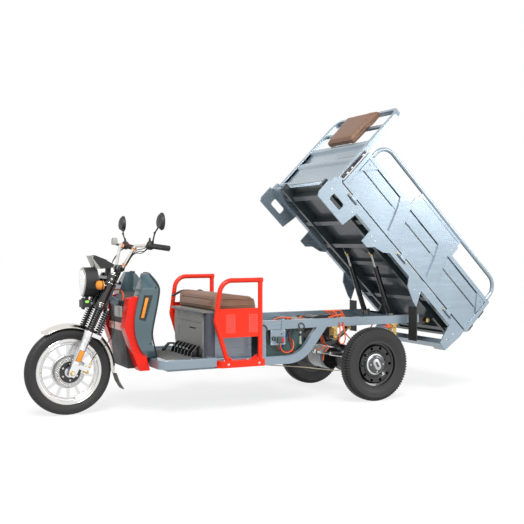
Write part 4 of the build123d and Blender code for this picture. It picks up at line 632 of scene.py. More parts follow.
class Workpiece:
    """A mesh in the making, shaped by bmesh operators in millimetres."""

    def __init__(self) -> None:
        """Starts with nothing."""
        self.mesh = bmesh.new()

    def _soften(self, verts: Sequence[bmesh.types.BMVert], width: float, steps: int) -> None:
        """Rounds the sharp edges between some vertices."""
        own = set(verts)
        edges = [edge for edge in {e for v in own for e in v.link_edges}
                 if all(v in own for v in edge.verts) and edge.calc_face_angle(0.0) > SHARP]
        bmesh.ops.bevel(self.mesh, geom=edges, offset=width, segments=steps, affect="EDGES", profile=0.5,
                        material=-1, clamp_overlap=True)

    def block(self, low: Spot, high: Spot, soft: float = 0.0, steps: int = 2) -> "Workpiece":
        """A block between two corners, its edges rounded."""
        size = [abs(b - a) for a, b in zip(low, high)]
        middle = (Vector(low) + Vector(high)) / 2
        made = bmesh.ops.create_cube(self.mesh, size=1,
                                     matrix=Matrix.Translation(middle) @ Matrix.Diagonal((*size, 1)))
        if soft:
            self._soften(made["verts"], soft, steps)
        return self

    def bar(self, start: Spot, end: Spot, radius: float, far_radius: Optional[float] = None, sides: int = 20,
            soft: float = 0.0) -> "Workpiece":
        """A round or many-sided bar between two points, its ends rounded."""
        start, end = Vector(start), Vector(end)
        line = end - start
        turn = line.to_track_quat("Z", "Y").to_matrix().to_4x4()
        made = bmesh.ops.create_cone(self.mesh, cap_ends=True, segments=sides, radius1=radius,
                                     depth=line.length,
                                     radius2=radius if far_radius is None else far_radius,
                                     matrix=Matrix.Translation((start + end) / 2) @ turn)
        if soft:
            self._soften(made["verts"], soft, 2)
        return self

    def ball(self, middle: Spot, radii: Spot, sides: int = 24) -> "Workpiece":
        """A ball or a squashed one."""
        bmesh.ops.create_uvsphere(self.mesh, u_segments=sides, v_segments=sides // 2, radius=1,
                                  matrix=Matrix.Translation(middle) @ Matrix.Diagonal((*radii, 1)))
        return self

    def lathe(self, middle: Spot, profile: Sequence[tuple[float, float]], axis: Spot = (0, 1, 0),
              steps: int = 64,
              angle: float = 360.0) -> "Workpiece":
        """Turns a profile about an axis.

        Args:
            middle: A point on the axis.
            profile: Pairs of radius and place along the axis, in order.
            axis: The axis.
            steps: How many steps a turn has.
            angle: How far it is turned, in degrees.

        Returns:
            The workpiece.
        """
        axis = Vector(axis).normalized()
        out = axis.orthogonal().normalized() if abs(axis.y) < 1 else Vector((1, 0, 0))
        verts = [self.mesh.verts.new(Vector(middle) + out * radius + axis * along) for radius,
                 along in profile]
        edges = [self.mesh.edges.new(pair) for pair in zip(verts, verts[1:])]
        whole = angle == 360.0
        bmesh.ops.spin(self.mesh, geom=verts + edges, cent=middle, axis=axis, dvec=(0, 0, 0), steps=steps,
                       angle=math.radians(angle), use_merge=whole)
        return self

    def plate(self, outline: Sequence[tuple[float, float]], low: float, high: float, along: str = "Y",
              soft: float = 0.0) -> "Workpiece":
        """A plate of an outline between two heights along an axis.

        Args:
            outline: Its corners on the two other axes, in the order of the alphabet.
            low: Where it starts.
            high: Where it ends.
            along: The axis through its thickness.
            soft: How far its edges are rounded.

        Returns:
            The workpiece.
        """
        across = POINTS.index(along)
        verts = []
        for pair in outline:
            spot = list(pair)
            spot.insert(across, low)
            verts.append(self.mesh.verts.new(spot))
        face = self.mesh.faces.new(verts)
        raised = bmesh.ops.extrude_face_region(self.mesh, geom=[face])["geom"]
        moved = [item for item in raised if isinstance(item, bmesh.types.BMVert)]
        step = [0.0, 0.0, 0.0]
        step[across] = high - low
        bmesh.ops.translate(self.mesh, verts=moved, vec=step)
        if soft:
            self._soften(verts + moved, soft, 2)
        return self

    def coil(self, foot: Spot, axis: Spot, radius: float, wire: float, rise: float,
             turns: float) -> "Workpiece":
        """A helical spring.

        Args:
            foot: Where it starts, on its axis.
            axis: Its axis.
            radius: From its axis to the middle of the wire.
            wire: The wire's radius.
            rise: Its length.
            turns: How many turns it has.

        Returns:
            The workpiece.
        """
        steps = int(turns * 20)
        axis = Vector(axis).normalized()
        out = axis.orthogonal().normalized()
        lie = Matrix.Translation(Vector(foot) + out * radius) @ axis.cross(out).to_track_quat("Z",
            "Y").to_matrix().to_4x4()
        made = bmesh.ops.create_circle(self.mesh, cap_ends=False, segments=8, radius=wire, matrix=lie)
        edges = list({edge for vert in made["verts"] for edge in vert.link_edges})
        bmesh.ops.spin(self.mesh, geom=made["verts"] + edges, cent=foot, axis=axis,
                       dvec=axis * (rise / steps),
                       angle=2 * math.pi * turns, steps=steps, use_merge=False)
        bmesh.ops.holes_fill(self.mesh, edges=[edge for edge in self.mesh.edges if edge.is_boundary], sides=0)
        return self

    def bolt(self, at: Spot, out: Spot, size: float = 7.0) -> "Workpiece":
        """A hexagon head on a washer, with the end of its thread."""
        at, out = Vector(at), Vector(out).normalized()
        self.bar(at - out, at + out * 1.4, size * 1.2, sides=16)
        self.bar(at, at + out * size * 0.8, size * 0.9, sides=6, soft=size * 0.1)
        return self.bar(at, at + out * size * 1.15, size * 0.45, sides=10, soft=size * 0.1)

    def ring(self, middle: Spot, axis: Spot, radius: float, wire: float, steps: int = 48) -> "Workpiece":
        """A round ring."""
        section = [(radius + wire * math.cos(a),
                    wire * math.sin(a)) for a in (math.pi * k / 5 for k in range(11))]
        return self.lathe(middle, section, axis, steps)

    def around(self, count: int, middle: Spot, axis: Spot = (0, 1, 0)) -> "Workpiece":
        """Repeats all there is around an axis."""
        geom = list(self.mesh.verts) + list(self.mesh.edges) + list(self.mesh.faces)
        bmesh.ops.spin(self.mesh, geom=geom, cent=middle, axis=axis, dvec=(0, 0, 0), steps=count - 1,
                       angle=2 * math.pi * (count - 1) / count, use_merge=False, use_duplicate=True)
        return self

    def both_sides(self) -> "Workpiece":
        """Repeats all there is on the other side of the vehicle."""
        geom = list(self.mesh.verts) + list(self.mesh.edges) + list(self.mesh.faces)
        bmesh.ops.mirror(self.mesh, geom=geom, matrix=Matrix.Identity(4), merge_dist=0.0001, axis="Y")
        return self

    def plain_object(self, name: str) -> bpy.types.Object:
        """Closes the mesh off as an object at the origin."""
        bmesh.ops.remove_doubles(self.mesh, verts=self.mesh.verts, dist=1e-6)
        bmesh.ops.recalc_face_normals(self.mesh, faces=self.mesh.faces)
        data = bpy.data.meshes.new(name)
        self.mesh.to_mesh(data)
        self.mesh.free()
        data.shade_smooth()
        data.set_sharp_from_angle(angle=SHARP)
        thing = bpy.data.objects.new(name, data)
        bpy.context.scene.collection.objects.link(thing)
        return thing

    def fit(self, name: str, place: Matrix, body: str, finish: Finish, *nodes: str) -> bpy.types.Object:
        """Places the mesh on the vehicle as a finished piece.

        Args:
            name: The piece's name.
            place: The working frame that it was made in.
            body: What it moves with.
            finish: Its finish.
            nodes: Frame pieces that it stands for.

        Returns:
            The piece.
        """
        bmesh.ops.transform(self.mesh, matrix=place, verts=self.mesh.verts)
        return dress(self.plain_object(name), body, finish, *nodes)


def dress(thing: bpy.types.Object, body: str, finish: Finish, *nodes: str) -> bpy.types.Object:
    """Gives a piece its finish and its body, and hides the frame pieces that it stands for."""
    thing.data.materials.append(finish.material())
    if nodes:
        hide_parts(*nodes)
    log.info("%s is fitted in %s", thing.name, finish.name)
    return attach(thing, body)


def wires(name: str, routes: Sequence[Sequence[Spot]], radius: float, place: Matrix, body: str,
          finish: Finish,
          *nodes: str, closed: bool = False) -> bpy.types.Object:
    """Round wires, each on one smooth line.

    Args:
        name: The piece's name.
        routes: The points that each wire is drawn by.
        radius: The wires' radius.
        place: The working frame of the points.
        body: What they move with.
        finish: Their finish.
        nodes: Frame pieces that they stand for.
        closed: Whether each runs back into its start.

    Returns:
        The piece.
    """
    curve = bpy.data.curves.new(name, "CURVE")
    curve.dimensions = "3D"
    curve.bevel_depth = radius * MM
    curve.bevel_resolution = 2
    curve.resolution_u = 6
    curve.use_fill_caps = True
    for route in routes:
        spline = curve.splines.new("NURBS")
        spline.points.add(len(route) - 1)
        for point, spot in zip(spline.points, route):
            point.co = (*(place @ Vector(spot)), 1.0)
        spline.order_u = 3
        spline.use_endpoint_u = not closed
        spline.use_cyclic_u = closed
    thing = bpy.data.objects.new(name, curve)
    bpy.context.scene.collection.objects.link(thing)
    return dress(thing, body, finish, *nodes)


def mirrored(route: Sequence[Spot]) -> list[Spot]:
    """A route on the other side of the vehicle."""
    return [(x, -y, z) for x, y, z in route]


def merged_copy(node: str) -> bmesh.types.BMesh:
    """A copy of a frame piece's mesh, with its points merged and its flat faces joined."""
    mesh = bmesh.new()
    mesh.from_mesh(frame["nodes"][node].data)
    bmesh.ops.transform(mesh, matrix=frame["nodes"][node].matrix_world, verts=mesh.verts)
    bmesh.ops.remove_doubles(mesh, verts=mesh.verts, dist=1e-5)
    bmesh.ops.dissolve_limit(mesh, angle_limit=math.radians(0.6), verts=mesh.verts, edges=mesh.edges)
    return mesh


# ======================= Wheels =======================


class Tread(Enum):
    """Kinds of tyre tread."""

    ROAD = "ribs with zigzag grooves and notched shoulders"
    RIBBED = "round ribs with slanted sipes"


@dataclass
class Tyre:
    """A tyre with its tread, in the wheel's own frame; millimetres."""

    node: str
    body: str
    place: Matrix
    radius: float
    wall: tuple[tuple[float, float], ...]
    crown_half: float
    crown_drop: float
    tread: Tread
    steps: int
    rows: int = 36
    groove: float = 5.0

    def build(self) -> None:
        """Turns the section and cuts the tread."""
        crown = [self.crown_half * (1 - 2 * k / self.rows) for k in range(self.rows + 1)]
        section = [*self.wall, *((self.radius - self.crown_drop * (y / self.crown_half) ** 2,
                                  y) for y in crown),
                   *((r, -y) for r, y in reversed(self.wall)), self.wall[0]]
        piece = Workpiece().lathe((0, 0, 0), section, steps=self.steps)
        for vert in piece.mesh.verts:
            self._cut(vert)
        piece.fit(f"{self.node}_treaded", self.place, self.body, TYRE, self.node)

    def _cut(self, vert: bmesh.types.BMVert) -> None:
        """Sinks a point of the crown or shoulder where the tread has a groove."""
        x, y, z = vert.co
        reach = math.hypot(x, z)
        step = round(math.atan2(z, x) / (2 * math.pi) * self.steps) % 6
        deep = 0.0
        if self.tread is Tread.ROAD:
            zigzag = (-1.5, -0.5, 0.8, 1.5, 0.8, -0.5)[step]
            if reach > self.radius - 22 and abs(y) > self.crown_half * 0.66 and step < 3:
                deep = self.groove * 1.8
                vert.co.y *= 0.965
            elif (reach > self.radius - self.crown_drop - 1
                  and any(abs(y - rib - zigzag) < 1.6 for rib in (-17, 0, 17))):
                deep = self.groove
        elif reach > self.radius - 22:
            if any(abs(abs(y) - rib) < 1.3 for rib in (6, 19)):
                deep = self.groove * 0.6
            elif abs(y) > 24 and step == round(abs(y)) % 4:
                deep = self.groove * 0.35
        if deep:
            vert.co.x *= (reach - deep) / reach
            vert.co.z *= (reach - deep) / reach


def arc(middle: tuple[float, float], radius: float, start: float, end: float,
        count: int) -> list[tuple[float, float]]:
    """Points along an arc, in degrees."""
    angles = [math.radians(start + (end - start) * k / (count - 1)) for k in range(count)]
    return [(middle[0] + radius * math.cos(a), middle[1] + radius * math.sin(a)) for a in angles]


@dataclass
class RearWheel:
    """A driven rear wheel: tyre, hub cap, wheel nuts and valve."""

    word: str
    turn: float
    cap_radius: float = 66.0
    cap_face: float = 40.0
    nut_circle: float = 92.0
    nuts: int = 5

    def build(self) -> None:
        """Fits the wheel's pieces."""
        body = f"rear_wheel_{self.word}"
        place = place_at(joint_place(f"rear_wheel_{self.word}_spin"), 0, self.turn)
        wall = ((158.5, 33.0), (166, 34.5), (172, 38.5), (176, 40.5), (179, 40.2), (190, 44.5), (205, 47.4),
                (218, 48.6),
                (229, 48.4), (231, 49.0), (234, 48.8), (243, 46.5), (249, 43.5), (254.5, 40.0), (258, 37.5))
        Tyre(f"rear_tyre_{self.word}", body, place, 262.5, wall, 36.0, 3.0, Tread.ROAD, 504).build()
        cap = Workpiece().lathe((0, 0, 0), [(0, self.cap_face), (40, self.cap_face - 0.5),
                                            (58, self.cap_face - 3),
                                            (64, self.cap_face - 8), (self.cap_radius, self.cap_face - 16),
                                            (self.cap_radius, 20), (0, 20)])
        cap.fit(f"hub_cap_{self.word}", place, body, SLATE_METAL)
        bright = Workpiece()
        for reach, width, low, high in ((42, 25, 4.0, 1.0), (39, 21, 1.5, 2.2)):
            shape = arc((0, reach - width), width, 0, 180, 15) + arc((0, width - reach), width, 180, 360, 15)
            bright.plate(shape, self.cap_face - low, self.cap_face + high, soft=0.8)
        bright.ring((0, self.cap_face - 12, 0), (0, 1, 0), 64.5, 1.6)
        slot = Workpiece().plate(arc((0, 14), 9, 0, 180, 11) + arc((0, -14), 9, 180, 360, 11), self.cap_face,
                                 self.cap_face + 3.2, soft=0.6)
        for piece, finish, word in ((bright, STEEL, "relief"), (slot, SLATE_METAL, "recess")):
            bmesh.ops.rotate(piece.mesh, cent=(0, 0, 0), matrix=Matrix.Rotation(math.radians(30), 3, "Y"),
                             verts=piece.mesh.verts)
            piece.fit(f"hub_cap_{word}_{self.word}", place, body, finish)
        studs = Workpiece().bolt((0, self.cap_face - 3, 52), (0, 1, 0), 5.5).around(4, (0, 0, 0))
        studs.fit(f"hub_cap_bolts_{self.word}", place, body, STEEL)
        nuts = Workpiece().bolt((0, 11, self.nut_circle), (0, 1, 0), 9.0).around(self.nuts, (0, 0, 0))
        nuts.fit(f"wheel_nuts_{self.word}", place, body, BLACK_METAL)
        shield = Workpiece().lathe((0, 0, 0), [(104, -16), (154, -16), (154, -13), (104, -13), (104, -16)])
        shield.fit(f"rim_back_plate_{self.word}", place, body, BLACK_METAL)
        valve = Workpiece().bar((142, 4, 0), (139, 30, 0), 4.2, 3.0, soft=0.6).bar((139, 30, 0),
                                                                                   (138.4, 37, 0), 3.6)
        valve.fit(f"valve_{self.word}", place, body, RUBBER)


@dataclass
class FrontWheel:
    """The cast front wheel: tyre, polished lips, disc bolts and fender trim."""

    body: str = "front_wheel"
    disc_face: float = 50.0
    fender_radius: float = 316.0
    fender_drop: float = 26.0
    fender_half: float = 54.0
    fender_start: float = 62.0
    fender_end: float = 185.0

    def build(self) -> None:
        """Fits the wheel's pieces."""
        wall = ((202.5, 24.0), (210, 25.5), (216, 30.0), (220, 33.0), (223, 33.2), (232, 38.0), (243, 41.2),
                (252, 42.3),
                (259, 41.6), (261, 41.9), (264, 41.0), (270, 38.0), (275, 34.0))
        Tyre("front_tyre", self.body, FRONT_WHEEL, 285.0, wall, 31.0, 7.5, Tread.RIBBED, 288).build()
        lips = Workpiece()
        for side in SIDES:
            for radius, out, wire in ((214, 28.5, 2.6), (190, 26.0, 2.0), (176, 10.0, 1.8), (106, 10.5, 2.2)):
                lips.ring((0, side * out, 0), (0, 1, 0), radius, wire, 96)
        lips.fit("front_rim_lips", FRONT_WHEEL, self.body, CHROME)
        bolts = Workpiece().bolt((0, self.disc_face - 0.5, 53), (0, 1, 0), 5.5).around(6, (0, 0, 0))
        bolts.fit("disc_bolts", FRONT_WHEEL, self.body, STEEL)
        eyelets = Workpiece().ring((0, self.disc_face, 83), (0, 1, 0), 4.6, 0.9, 16).around(24, (0, 0, 0))
        eyelets.fit("disc_eyelets", FRONT_WHEEL, self.body, CHROME)
        gold = Workpiece().bolt((181, 8, 0), (0, 1, 0), 5.0).around(7, (0, 0, 0))
        gold.fit("spoke_bolts", FRONT_WHEEL, self.body, GOLD_METAL)
        cover = Workpiece().lathe((0, 0, 0), [(10, self.disc_face + 7), (22, self.disc_face + 6),
                                              (26, self.disc_face + 1),
                                              (34, self.disc_face), (34, self.disc_face - 3),
                                              (10, self.disc_face - 3)])
        cover.fit("hub_seal", FRONT_WHEEL, self.body, ALLOY)
        carrier = Workpiece().lathe((0, 0, 0), [(34, self.disc_face - 8), (66, self.disc_face - 8),
                                                (68, self.disc_face + 0.6),
                                                (34, self.disc_face + 0.6), (34, self.disc_face - 8)])
        carrier.fit("disc_carrier", FRONT_WHEEL, self.body, BLACK_METAL)
        self._fender()

    def _fender(self) -> None:
        """A rolled edge along the fender, its flicked-up lip and its stay bolts."""
        edge = self.fender_radius - self.fender_drop
        count = 22
        angles = [math.radians(self.fender_start + (self.fender_end - self.fender_start) * k / count)
                  for k in range(count + 1)]
        routes = [[(edge * math.cos(a), side * (self.fender_half - 1), edge * math.sin(a)) for a in angles]
                  for side in SIDES]
        wires("fender_rolled_edge", routes, 2.6, FRONT_WHEEL, "steering", CHROME)
        lip = Workpiece()
        across = [self.fender_half * math.sin(math.radians(a)) for a in range(-90, 91, 15)]
        start = math.radians(self.fender_start)
        verts = []
        for y in across:
            reach = self.fender_radius - 1.5 - self.fender_drop * (y / self.fender_half) ** 2
            verts.append(lip.mesh.verts.new((reach * math.cos(start), y, reach * math.sin(start))))
        edges = [lip.mesh.edges.new(pair) for pair in zip(verts, verts[1:])]
        for step in range(3):
            grown = bmesh.ops.extrude_edge_only(lip.mesh, edges=edges)["geom"]
            moved = [item for item in grown if isinstance(item, bmesh.types.BMVert)]
            edges = [item for item in grown if isinstance(item, bmesh.types.BMEdge)
                     and all(vert in moved for vert in item.verts)]
            bmesh.ops.rotate(lip.mesh, cent=(0, 0, 0), matrix=Matrix.Rotation(math.radians(1.6), 3, "Y"),
                             verts=moved)
            flick = 1.0 + 0.0045 * (step + 1)
            bmesh.ops.scale(lip.mesh, vec=(flick, 0.975, flick), verts=moved)
        bmesh.ops.recalc_face_normals(lip.mesh, faces=lip.mesh.faces)
        bmesh.ops.solidify(lip.mesh, geom=lip.mesh.faces, thickness=2.6)
        lip.fit("fender_lip", FRONT_WHEEL, "steering", CHROME)
        stay = Workpiece()
        for height in (272, 296):
            stay.bolt((0, self.fender_half + 1, height), (0, 1, 0), 5.5)
        stay.both_sides().fit("fender_stay_bolts", FORK, "steering", GOLD_METAL)


# ======================= Steering =======================


@dataclass
class Fork:
    """Fork legs, coil springs, clamps, reflectors, brake and its hose, in the fork's frame."""

    leg_at: float = 95.0
    spring_foot: float = 289.0
    spring_top: float = 454.0
    rear_spring: float = -58.0
    hose_route: tuple[Spot, ...] = (
        (-262, 56, 748), (-275, 60, 708), (-284, 66, 664), (-290, 76, 616), (-288, 85, 566), (-274, 90, 518),
        (-248, 87, 474), (-214, 76, 436), (-176, 60, 402), (-152.15, 48, 366.13), (-134.26, 48, 325.93))

    def build(self) -> None:
        """Fits the fork's pieces."""
        rise = self.spring_top - self.spring_foot
        coils, rods, collars = Workpiece(), Workpiece(), Workpiece()
        for x in (0.0, self.rear_spring):
            foot = (x, self.leg_at, self.spring_foot + 3)
            coils.coil(foot, (0, 0, 1), 23.0, 3.6, rise - 6, 10.5)
            rods.bar((x, self.leg_at, self.spring_foot - 2), (x, self.leg_at, self.spring_top), 11.0)
            for z in (self.spring_foot, self.spring_top - 9):
                collars.bar((x, self.leg_at, z), (x, self.leg_at, z + 9), 27.0, soft=1.5)
        coils.both_sides().fit("fork_spring_coils", FORK, "steering", BLACK_METAL, "fork_springs")
        rods.both_sides().fit("fork_inner_rods", FORK, "steering", UNDER_PAINT)
        collars.both_sides().fit("fork_spring_seats", FORK, "steering", BLACK_METAL)
        reflector = Workpiece().block((-16, self.leg_at + 25, 84), (16, self.leg_at + 31.5, 156), 2.0, 3)
        reflector.both_sides().fit("fork_reflectors", FORK, "steering", ORANGE_LENS)
        frame_rim = Workpiece().block((-18, self.leg_at + 23, 82), (18, self.leg_at + 28.5, 158), 1.5)
        frame_rim.both_sides().fit("reflector_backs", FORK, "steering", BLACK_PLASTIC)
        nuts = Workpiece().bar((0, self.leg_at + 27, 0), (0, self.leg_at + 29, 0), 17)
        nuts.bar((0, self.leg_at + 29, 0), (0, self.leg_at + 41, 0), 14.5, sides=6, soft=1.2)
        nuts.both_sides().fit("axle_nuts", FORK, "steering", GOLD_METAL)
        legs = Workpiece()
        for low, high, radius in ((228, 288, 30.5), (214, 228, 28.6), (60, 70, 28.4)):
            legs.bar((0, self.leg_at, low), (0, self.leg_at, high), radius, soft=2.0, sides=40)
        legs.block((-9, self.leg_at + 20, 190), (9, self.leg_at + 29.5, 282), 3.0)
        legs.both_sides().fit("fork_leg_collars", FORK, "steering", ALLOY)
        clamps = Workpiece()
        for z, x in ((464, 12), (464, -48), (656, 10), (656, -34)):
            clamps.bolt((x, self.leg_at + 33, z), (0, 1, 0), 6.5)
        clamps.bolt((0, self.leg_at, 694), (0, 0, 1), 13)
        clamps.both_sides().bolt((-45, 0, 666), (0, 0, 1), 15)
        clamps.fit("yoke_bolts", FORK, "steering", STEEL)
        covers = Workpiece()
        for z in (476, 488, 630, 688):
            covers.ring((0, self.leg_at, z), (0, 0, 1), 28.6, 2.0, 40)
        covers.both_sides().fit("fork_cover_rings", FORK, "steering", CHROME)
        brake = Workpiece().bolt((-80, 66, 36), (0, 1, 0), 7.5).bolt((-104, 66, 78), (0, 1, 0), 6.5)
        brake.bar((-100, 54, 40), (-100, 68, 40), 13, soft=2).bar((-76, 54, 62), (-76, 68, 62), 13, soft=2)
        brake.fit("caliper_fittings", FORK, "steering", GOLD_METAL)
        wires("brake_hose_run", [self.hose_route], 3.0, FRONT, "steering", RUBBER, "brake_hose")
        ends = Workpiece().bar((-106, 48, 90), (-106, 48, 104), 6.5, soft=1).bar((-106, 48, 104),
                                                                                 (-106, 48, 118), 4.6)
        ends.fit("hose_union", FORK, "steering", GOLD_METAL)


@dataclass
class Handlebar:
    """What the handlebar carries, in the front frame."""

    end: Vector = field(default_factory=lambda: Vector((-570, 348, 1090)))
    bend: Vector = field(default_factory=lambda: Vector((-469, 250, 1108)))
    grip_length: float = 114.0
    mirror_head: tuple[float, float, float] = (-500, 399, 1263)

    def build(self) -> None:
        """Fits grips, switches, ties, cables and mirrors."""
        along = (self.bend - self.end).normalized()
        grips = Workpiece()
        profile = [(0, -8), (15, -8), (18.5, -5), (18.5, 0)]
        for rib in range(18):
            start = 2 + rib * 6
            profile += [(17.2, start), (18.2, start + 1.2), (18.2, start + 4), (17.2, start + 5)]
        profile += [(21, self.grip_length - 3), (21, self.grip_length), (0, self.grip_length)]
        grips.lathe(self.end, profile, along, 36)
        grips.both_sides().fit("ribbed_grips", FRONT, "steering", RUBBER)
        foot = self.end + along * (self.grip_length + 1)
        pods = Workpiece().bar(foot, foot + along * 34, 27, soft=6, sides=32)
        pods.bar(foot + along * 4 + Vector((0, 0, 10)), foot + along * 30 + Vector((0, 0, 10)), 22, soft=6,
                 sides=32)
        pods.bar(foot + along * 18 + Vector((14, 14, -8)), foot + along * 18 + Vector((34, 32, -6)), 10,
                 soft=2)
        pods.bar(foot + along * 18 + Vector((0, 0, 26)), foot + along * 16 + Vector((2, 1, 52)), 9, 5.5,
                 soft=1)
        pods.both_sides().fit("switch_housings", FRONT, "steering", BLACK_PLASTIC)
        buttons = Workpiece().ball(foot + along * 20 + Vector((-18, -16, 14)), (6, 6, 5))
        buttons.both_sides().fit("switch_buttons", FRONT, "steering", RED_PLASTIC)
        tank = Workpiece().block((-428, -322, 1112), (-392, -276, 1156), 6, 3).bar((-410, -299, 1154),
                                                                                   (-410, -299, 1162), 17)
        tank.fit("brake_reservoir", FRONT, "steering", SILVER_PLASTIC)
        lever = Workpiece().bar((-455, -262, 1104), (-412, -296, 1120), 9, soft=2)
        lever.fit("reservoir_arm", FRONT, "steering", BLACK_METAL)
        self._ties()
        self._cables()
        self._mirrors()

    def _ties(self) -> None:
        """Orange ties round the bar and its cables, and the black clamps at its foot."""
        ties = Workpiece()
        leg = Vector((-60, 95, 150)).normalized()
        for spot in ((-402, 156, 1088), (-358, 86, 982)):
            ties.ring(spot, leg, 15.5, 2.6, 24)
        ties.ring((-430, -196, 1106), Vector((-61, -85, 2)), 15.0, 2.6, 24)
        ties.fit("cable_ties", FRONT, "steering", ORANGE_LENS)
        clamp = Workpiece().bar((-348, 20, 956), (-348, 58, 956), 24, soft=3).both_sides()
        clamp.fit("bar_clamps", FRONT, "steering", BLACK_METAL)
        bolts = Workpiece()
        for x, z in ((-330, 962), (-366, 950)):
            bolts.bolt((x, 38, z + 18), (-0.4, 0, 0.91), 5.5)
        bolts.both_sides().fit("bar_clamp_bolts", FRONT, "steering", CHROME)

    def _cables(self) -> None:
        """Black cables from the switches down to the lamp, with slack loops."""
        left = [
            [(-466, 238, 1098), (-444, 208, 1084), (-414, 172, 1082), (-392, 128, 1040), (-366, 92, 976),
             (-340, 60, 930),
             (-300, 30, 905)],
            [(-470, 236, 1090), (-440, 214, 1052), (-404, 178, 1064), (-380, 124, 1020), (-352, 78, 950),
             (-312, 46, 900),
             (-262, 40, 880)],
            [(-462, 246, 1096), (-452, 226, 1066), (-424, 196, 1074), (-396, 142, 1050), (-370, 84, 970),
             (-322, 30, 912),
             (-280, -10, 890)]]
        right = [
            [(-466, -238, 1098), (-420, -232, 1060), (-366, -196, 1010), (-330, -140, 940), (-296, -80, 890),
             (-262, -40, 870)],
            [(-462, -246, 1100), (-398, -236, 1030), (-340, -180, 960), (-306, -110, 905), (-280, -50, 880)],
            [(-470, -234, 1094), (-438, -204, 1080), (-400, -150, 1066), (-372, -106, 996), (-344, -66, 930),
             (-300, -30, 900)]]
        wires("handlebar_cables", left + right, 2.7, FRONT, "steering", RUBBER)

    def _mirrors(self) -> None:
        """Rounded mirror backs, glass and boots."""
        x, y, z = self.mirror_head
        backs = Workpiece().ball((x - 6, y, z), (22, 50, 57), 40)
        bmesh.ops.bisect_plane(backs.mesh, geom=[*backs.mesh.verts, *backs.mesh.edges, *backs.mesh.faces],
                               plane_co=(x - 12, y, z), plane_no=(-1, 0, 0), clear_outer=True)
        bmesh.ops.holes_fill(backs.mesh, edges=[edge for edge in backs.mesh.edges if edge.is_boundary],
                             sides=0)
        backs.both_sides().fit("mirror_backs", FRONT, "steering", BLACK_PLASTIC)
        glass = Workpiece().ball((x - 12, y, z), (3.4, 44, 51), 40)
        glass.both_sides().fit("mirror_glasses", FRONT, "steering", MIRROR_GLASS)
        boots = Workpiece().bar((-487, 268, 1112), (-485.6, 291, 1140), 9.5, 6.5,
                                soft=1).ball((-483, 330, 1190), (8, 8, 8))
        boots.both_sides().fit("mirror_boots", FRONT, "steering", RUBBER)


@dataclass
class Lamps:
    """Headlamp bezel, display visor, indicators and their stems, in the front frame."""

    middle: float = 867.0
    lobes: tuple[tuple[float, float], ...] = ((12.0, 86.0), (-50.0, 48.0))
    face: float = -97.0
    indicator: tuple[float, float, float] = (-182.0, 128.0, 851.0)

    def outline(self, share: float, count: int = 15) -> list[tuple[float, float]]:
        """The lamp's outline, as (y, z), drawn in by a share."""
        (high, big), (low, small) = self.lobes
        lean = math.degrees(math.asin((big - small) / (high - low)))
        upper = arc((0, self.middle + high * share), big * share, -lean, 180 + lean, count * 2)
        return upper + arc((0, self.middle + low * share), small * share, 180 + lean, 360 - lean, count)

    def build(self) -> None:
        """Fits the lamps' pieces."""
        bezel = Workpiece().plate(self.outline(0.985), self.face - 16, self.face + 2, "X", 3.0)
        inner = [(y, z) for y, z in self.outline(0.885)]
        verts = [bezel.mesh.verts.new((self.face + 2.2, y, z)) for y, z in inner]
        bezel.mesh.faces.new(verts)
        bezel.fit("headlamp_bezel", FRONT, "steering", SILVER_PLASTIC)
        lens = Workpiece().plate(self.outline(0.82), self.face - 2, self.face + 6.5, "X", 3.5)
        lens.fit("headlamp_front_lens", FRONT, "steering", WHITE_LENS, "headlamp_lens")
        wires("headlamp_chrome_ring", [[(self.face + 3.0, y, z) for y, z in self.outline(0.84)]], 2.0, FRONT,
              "steering",
              CHROME, closed=True)
        visor = Workpiece().plate([(-140, 1042), (-160, 1035), (-206, 960), (-178, 953)], -61, 61, "Y", 2.5)
        visor.fit("display_visor", FRONT, "steering", SILVER_PLASTIC)
        screen = Workpiece().plate([(-251, 1011), (-173, 1042), (-172, 1044.5), (-252, 1013.5)], -46, 46,
                                   "Y", 0.6)
        screen.fit("display_screen", FRONT, "steering", SLATE_PLASTIC)
        x, y, z = self.indicator
        domes = Workpiece().lathe((x, y, z), [(0, 31), (14, 28.5), (23, 23), (27.5, 14), (28.2, 0),
                                              (28.2, -14), (0, -14)],
                                  (1, 0, 0), 40)
        domes.both_sides().fit("indicator_lenses", FRONT, "steering", ORANGE_LENS)
        backs = Workpiece().lathe((x, y, z), [(0, -24), (14, -22), (24, -16), (29.4, -13), (29.4, -6),
                                              (0, -6)],
                                  (1, 0, 0), 40)
        backs.both_sides().fit("indicator_backs", FRONT, "steering", BLACK_PLASTIC)
        stems = Workpiece().bar((-242, 103, 845), (-196, 124, 850), 7.2, soft=1)
        stems.both_sides().fit("indicator_stems", FRONT, "steering", CHROME)
        horn = Workpiece().lathe((-138, 0, 726), [(0, 52), (16, 50), (34, 46), (40, 38), (40, 30), (0, 30)],
                                 (1, 0, 0), 40)
        horn.fit("horn", FRONT, "steering", BLACK_PLASTIC)
        lamp = Workpiece().block((-130, 40, 732), (-106, 44.5, 748), 1.2)
        lamp.fit("small_green_lamp", FRONT, "steering", GREEN_LAMP)


# ======================= Fairing =======================


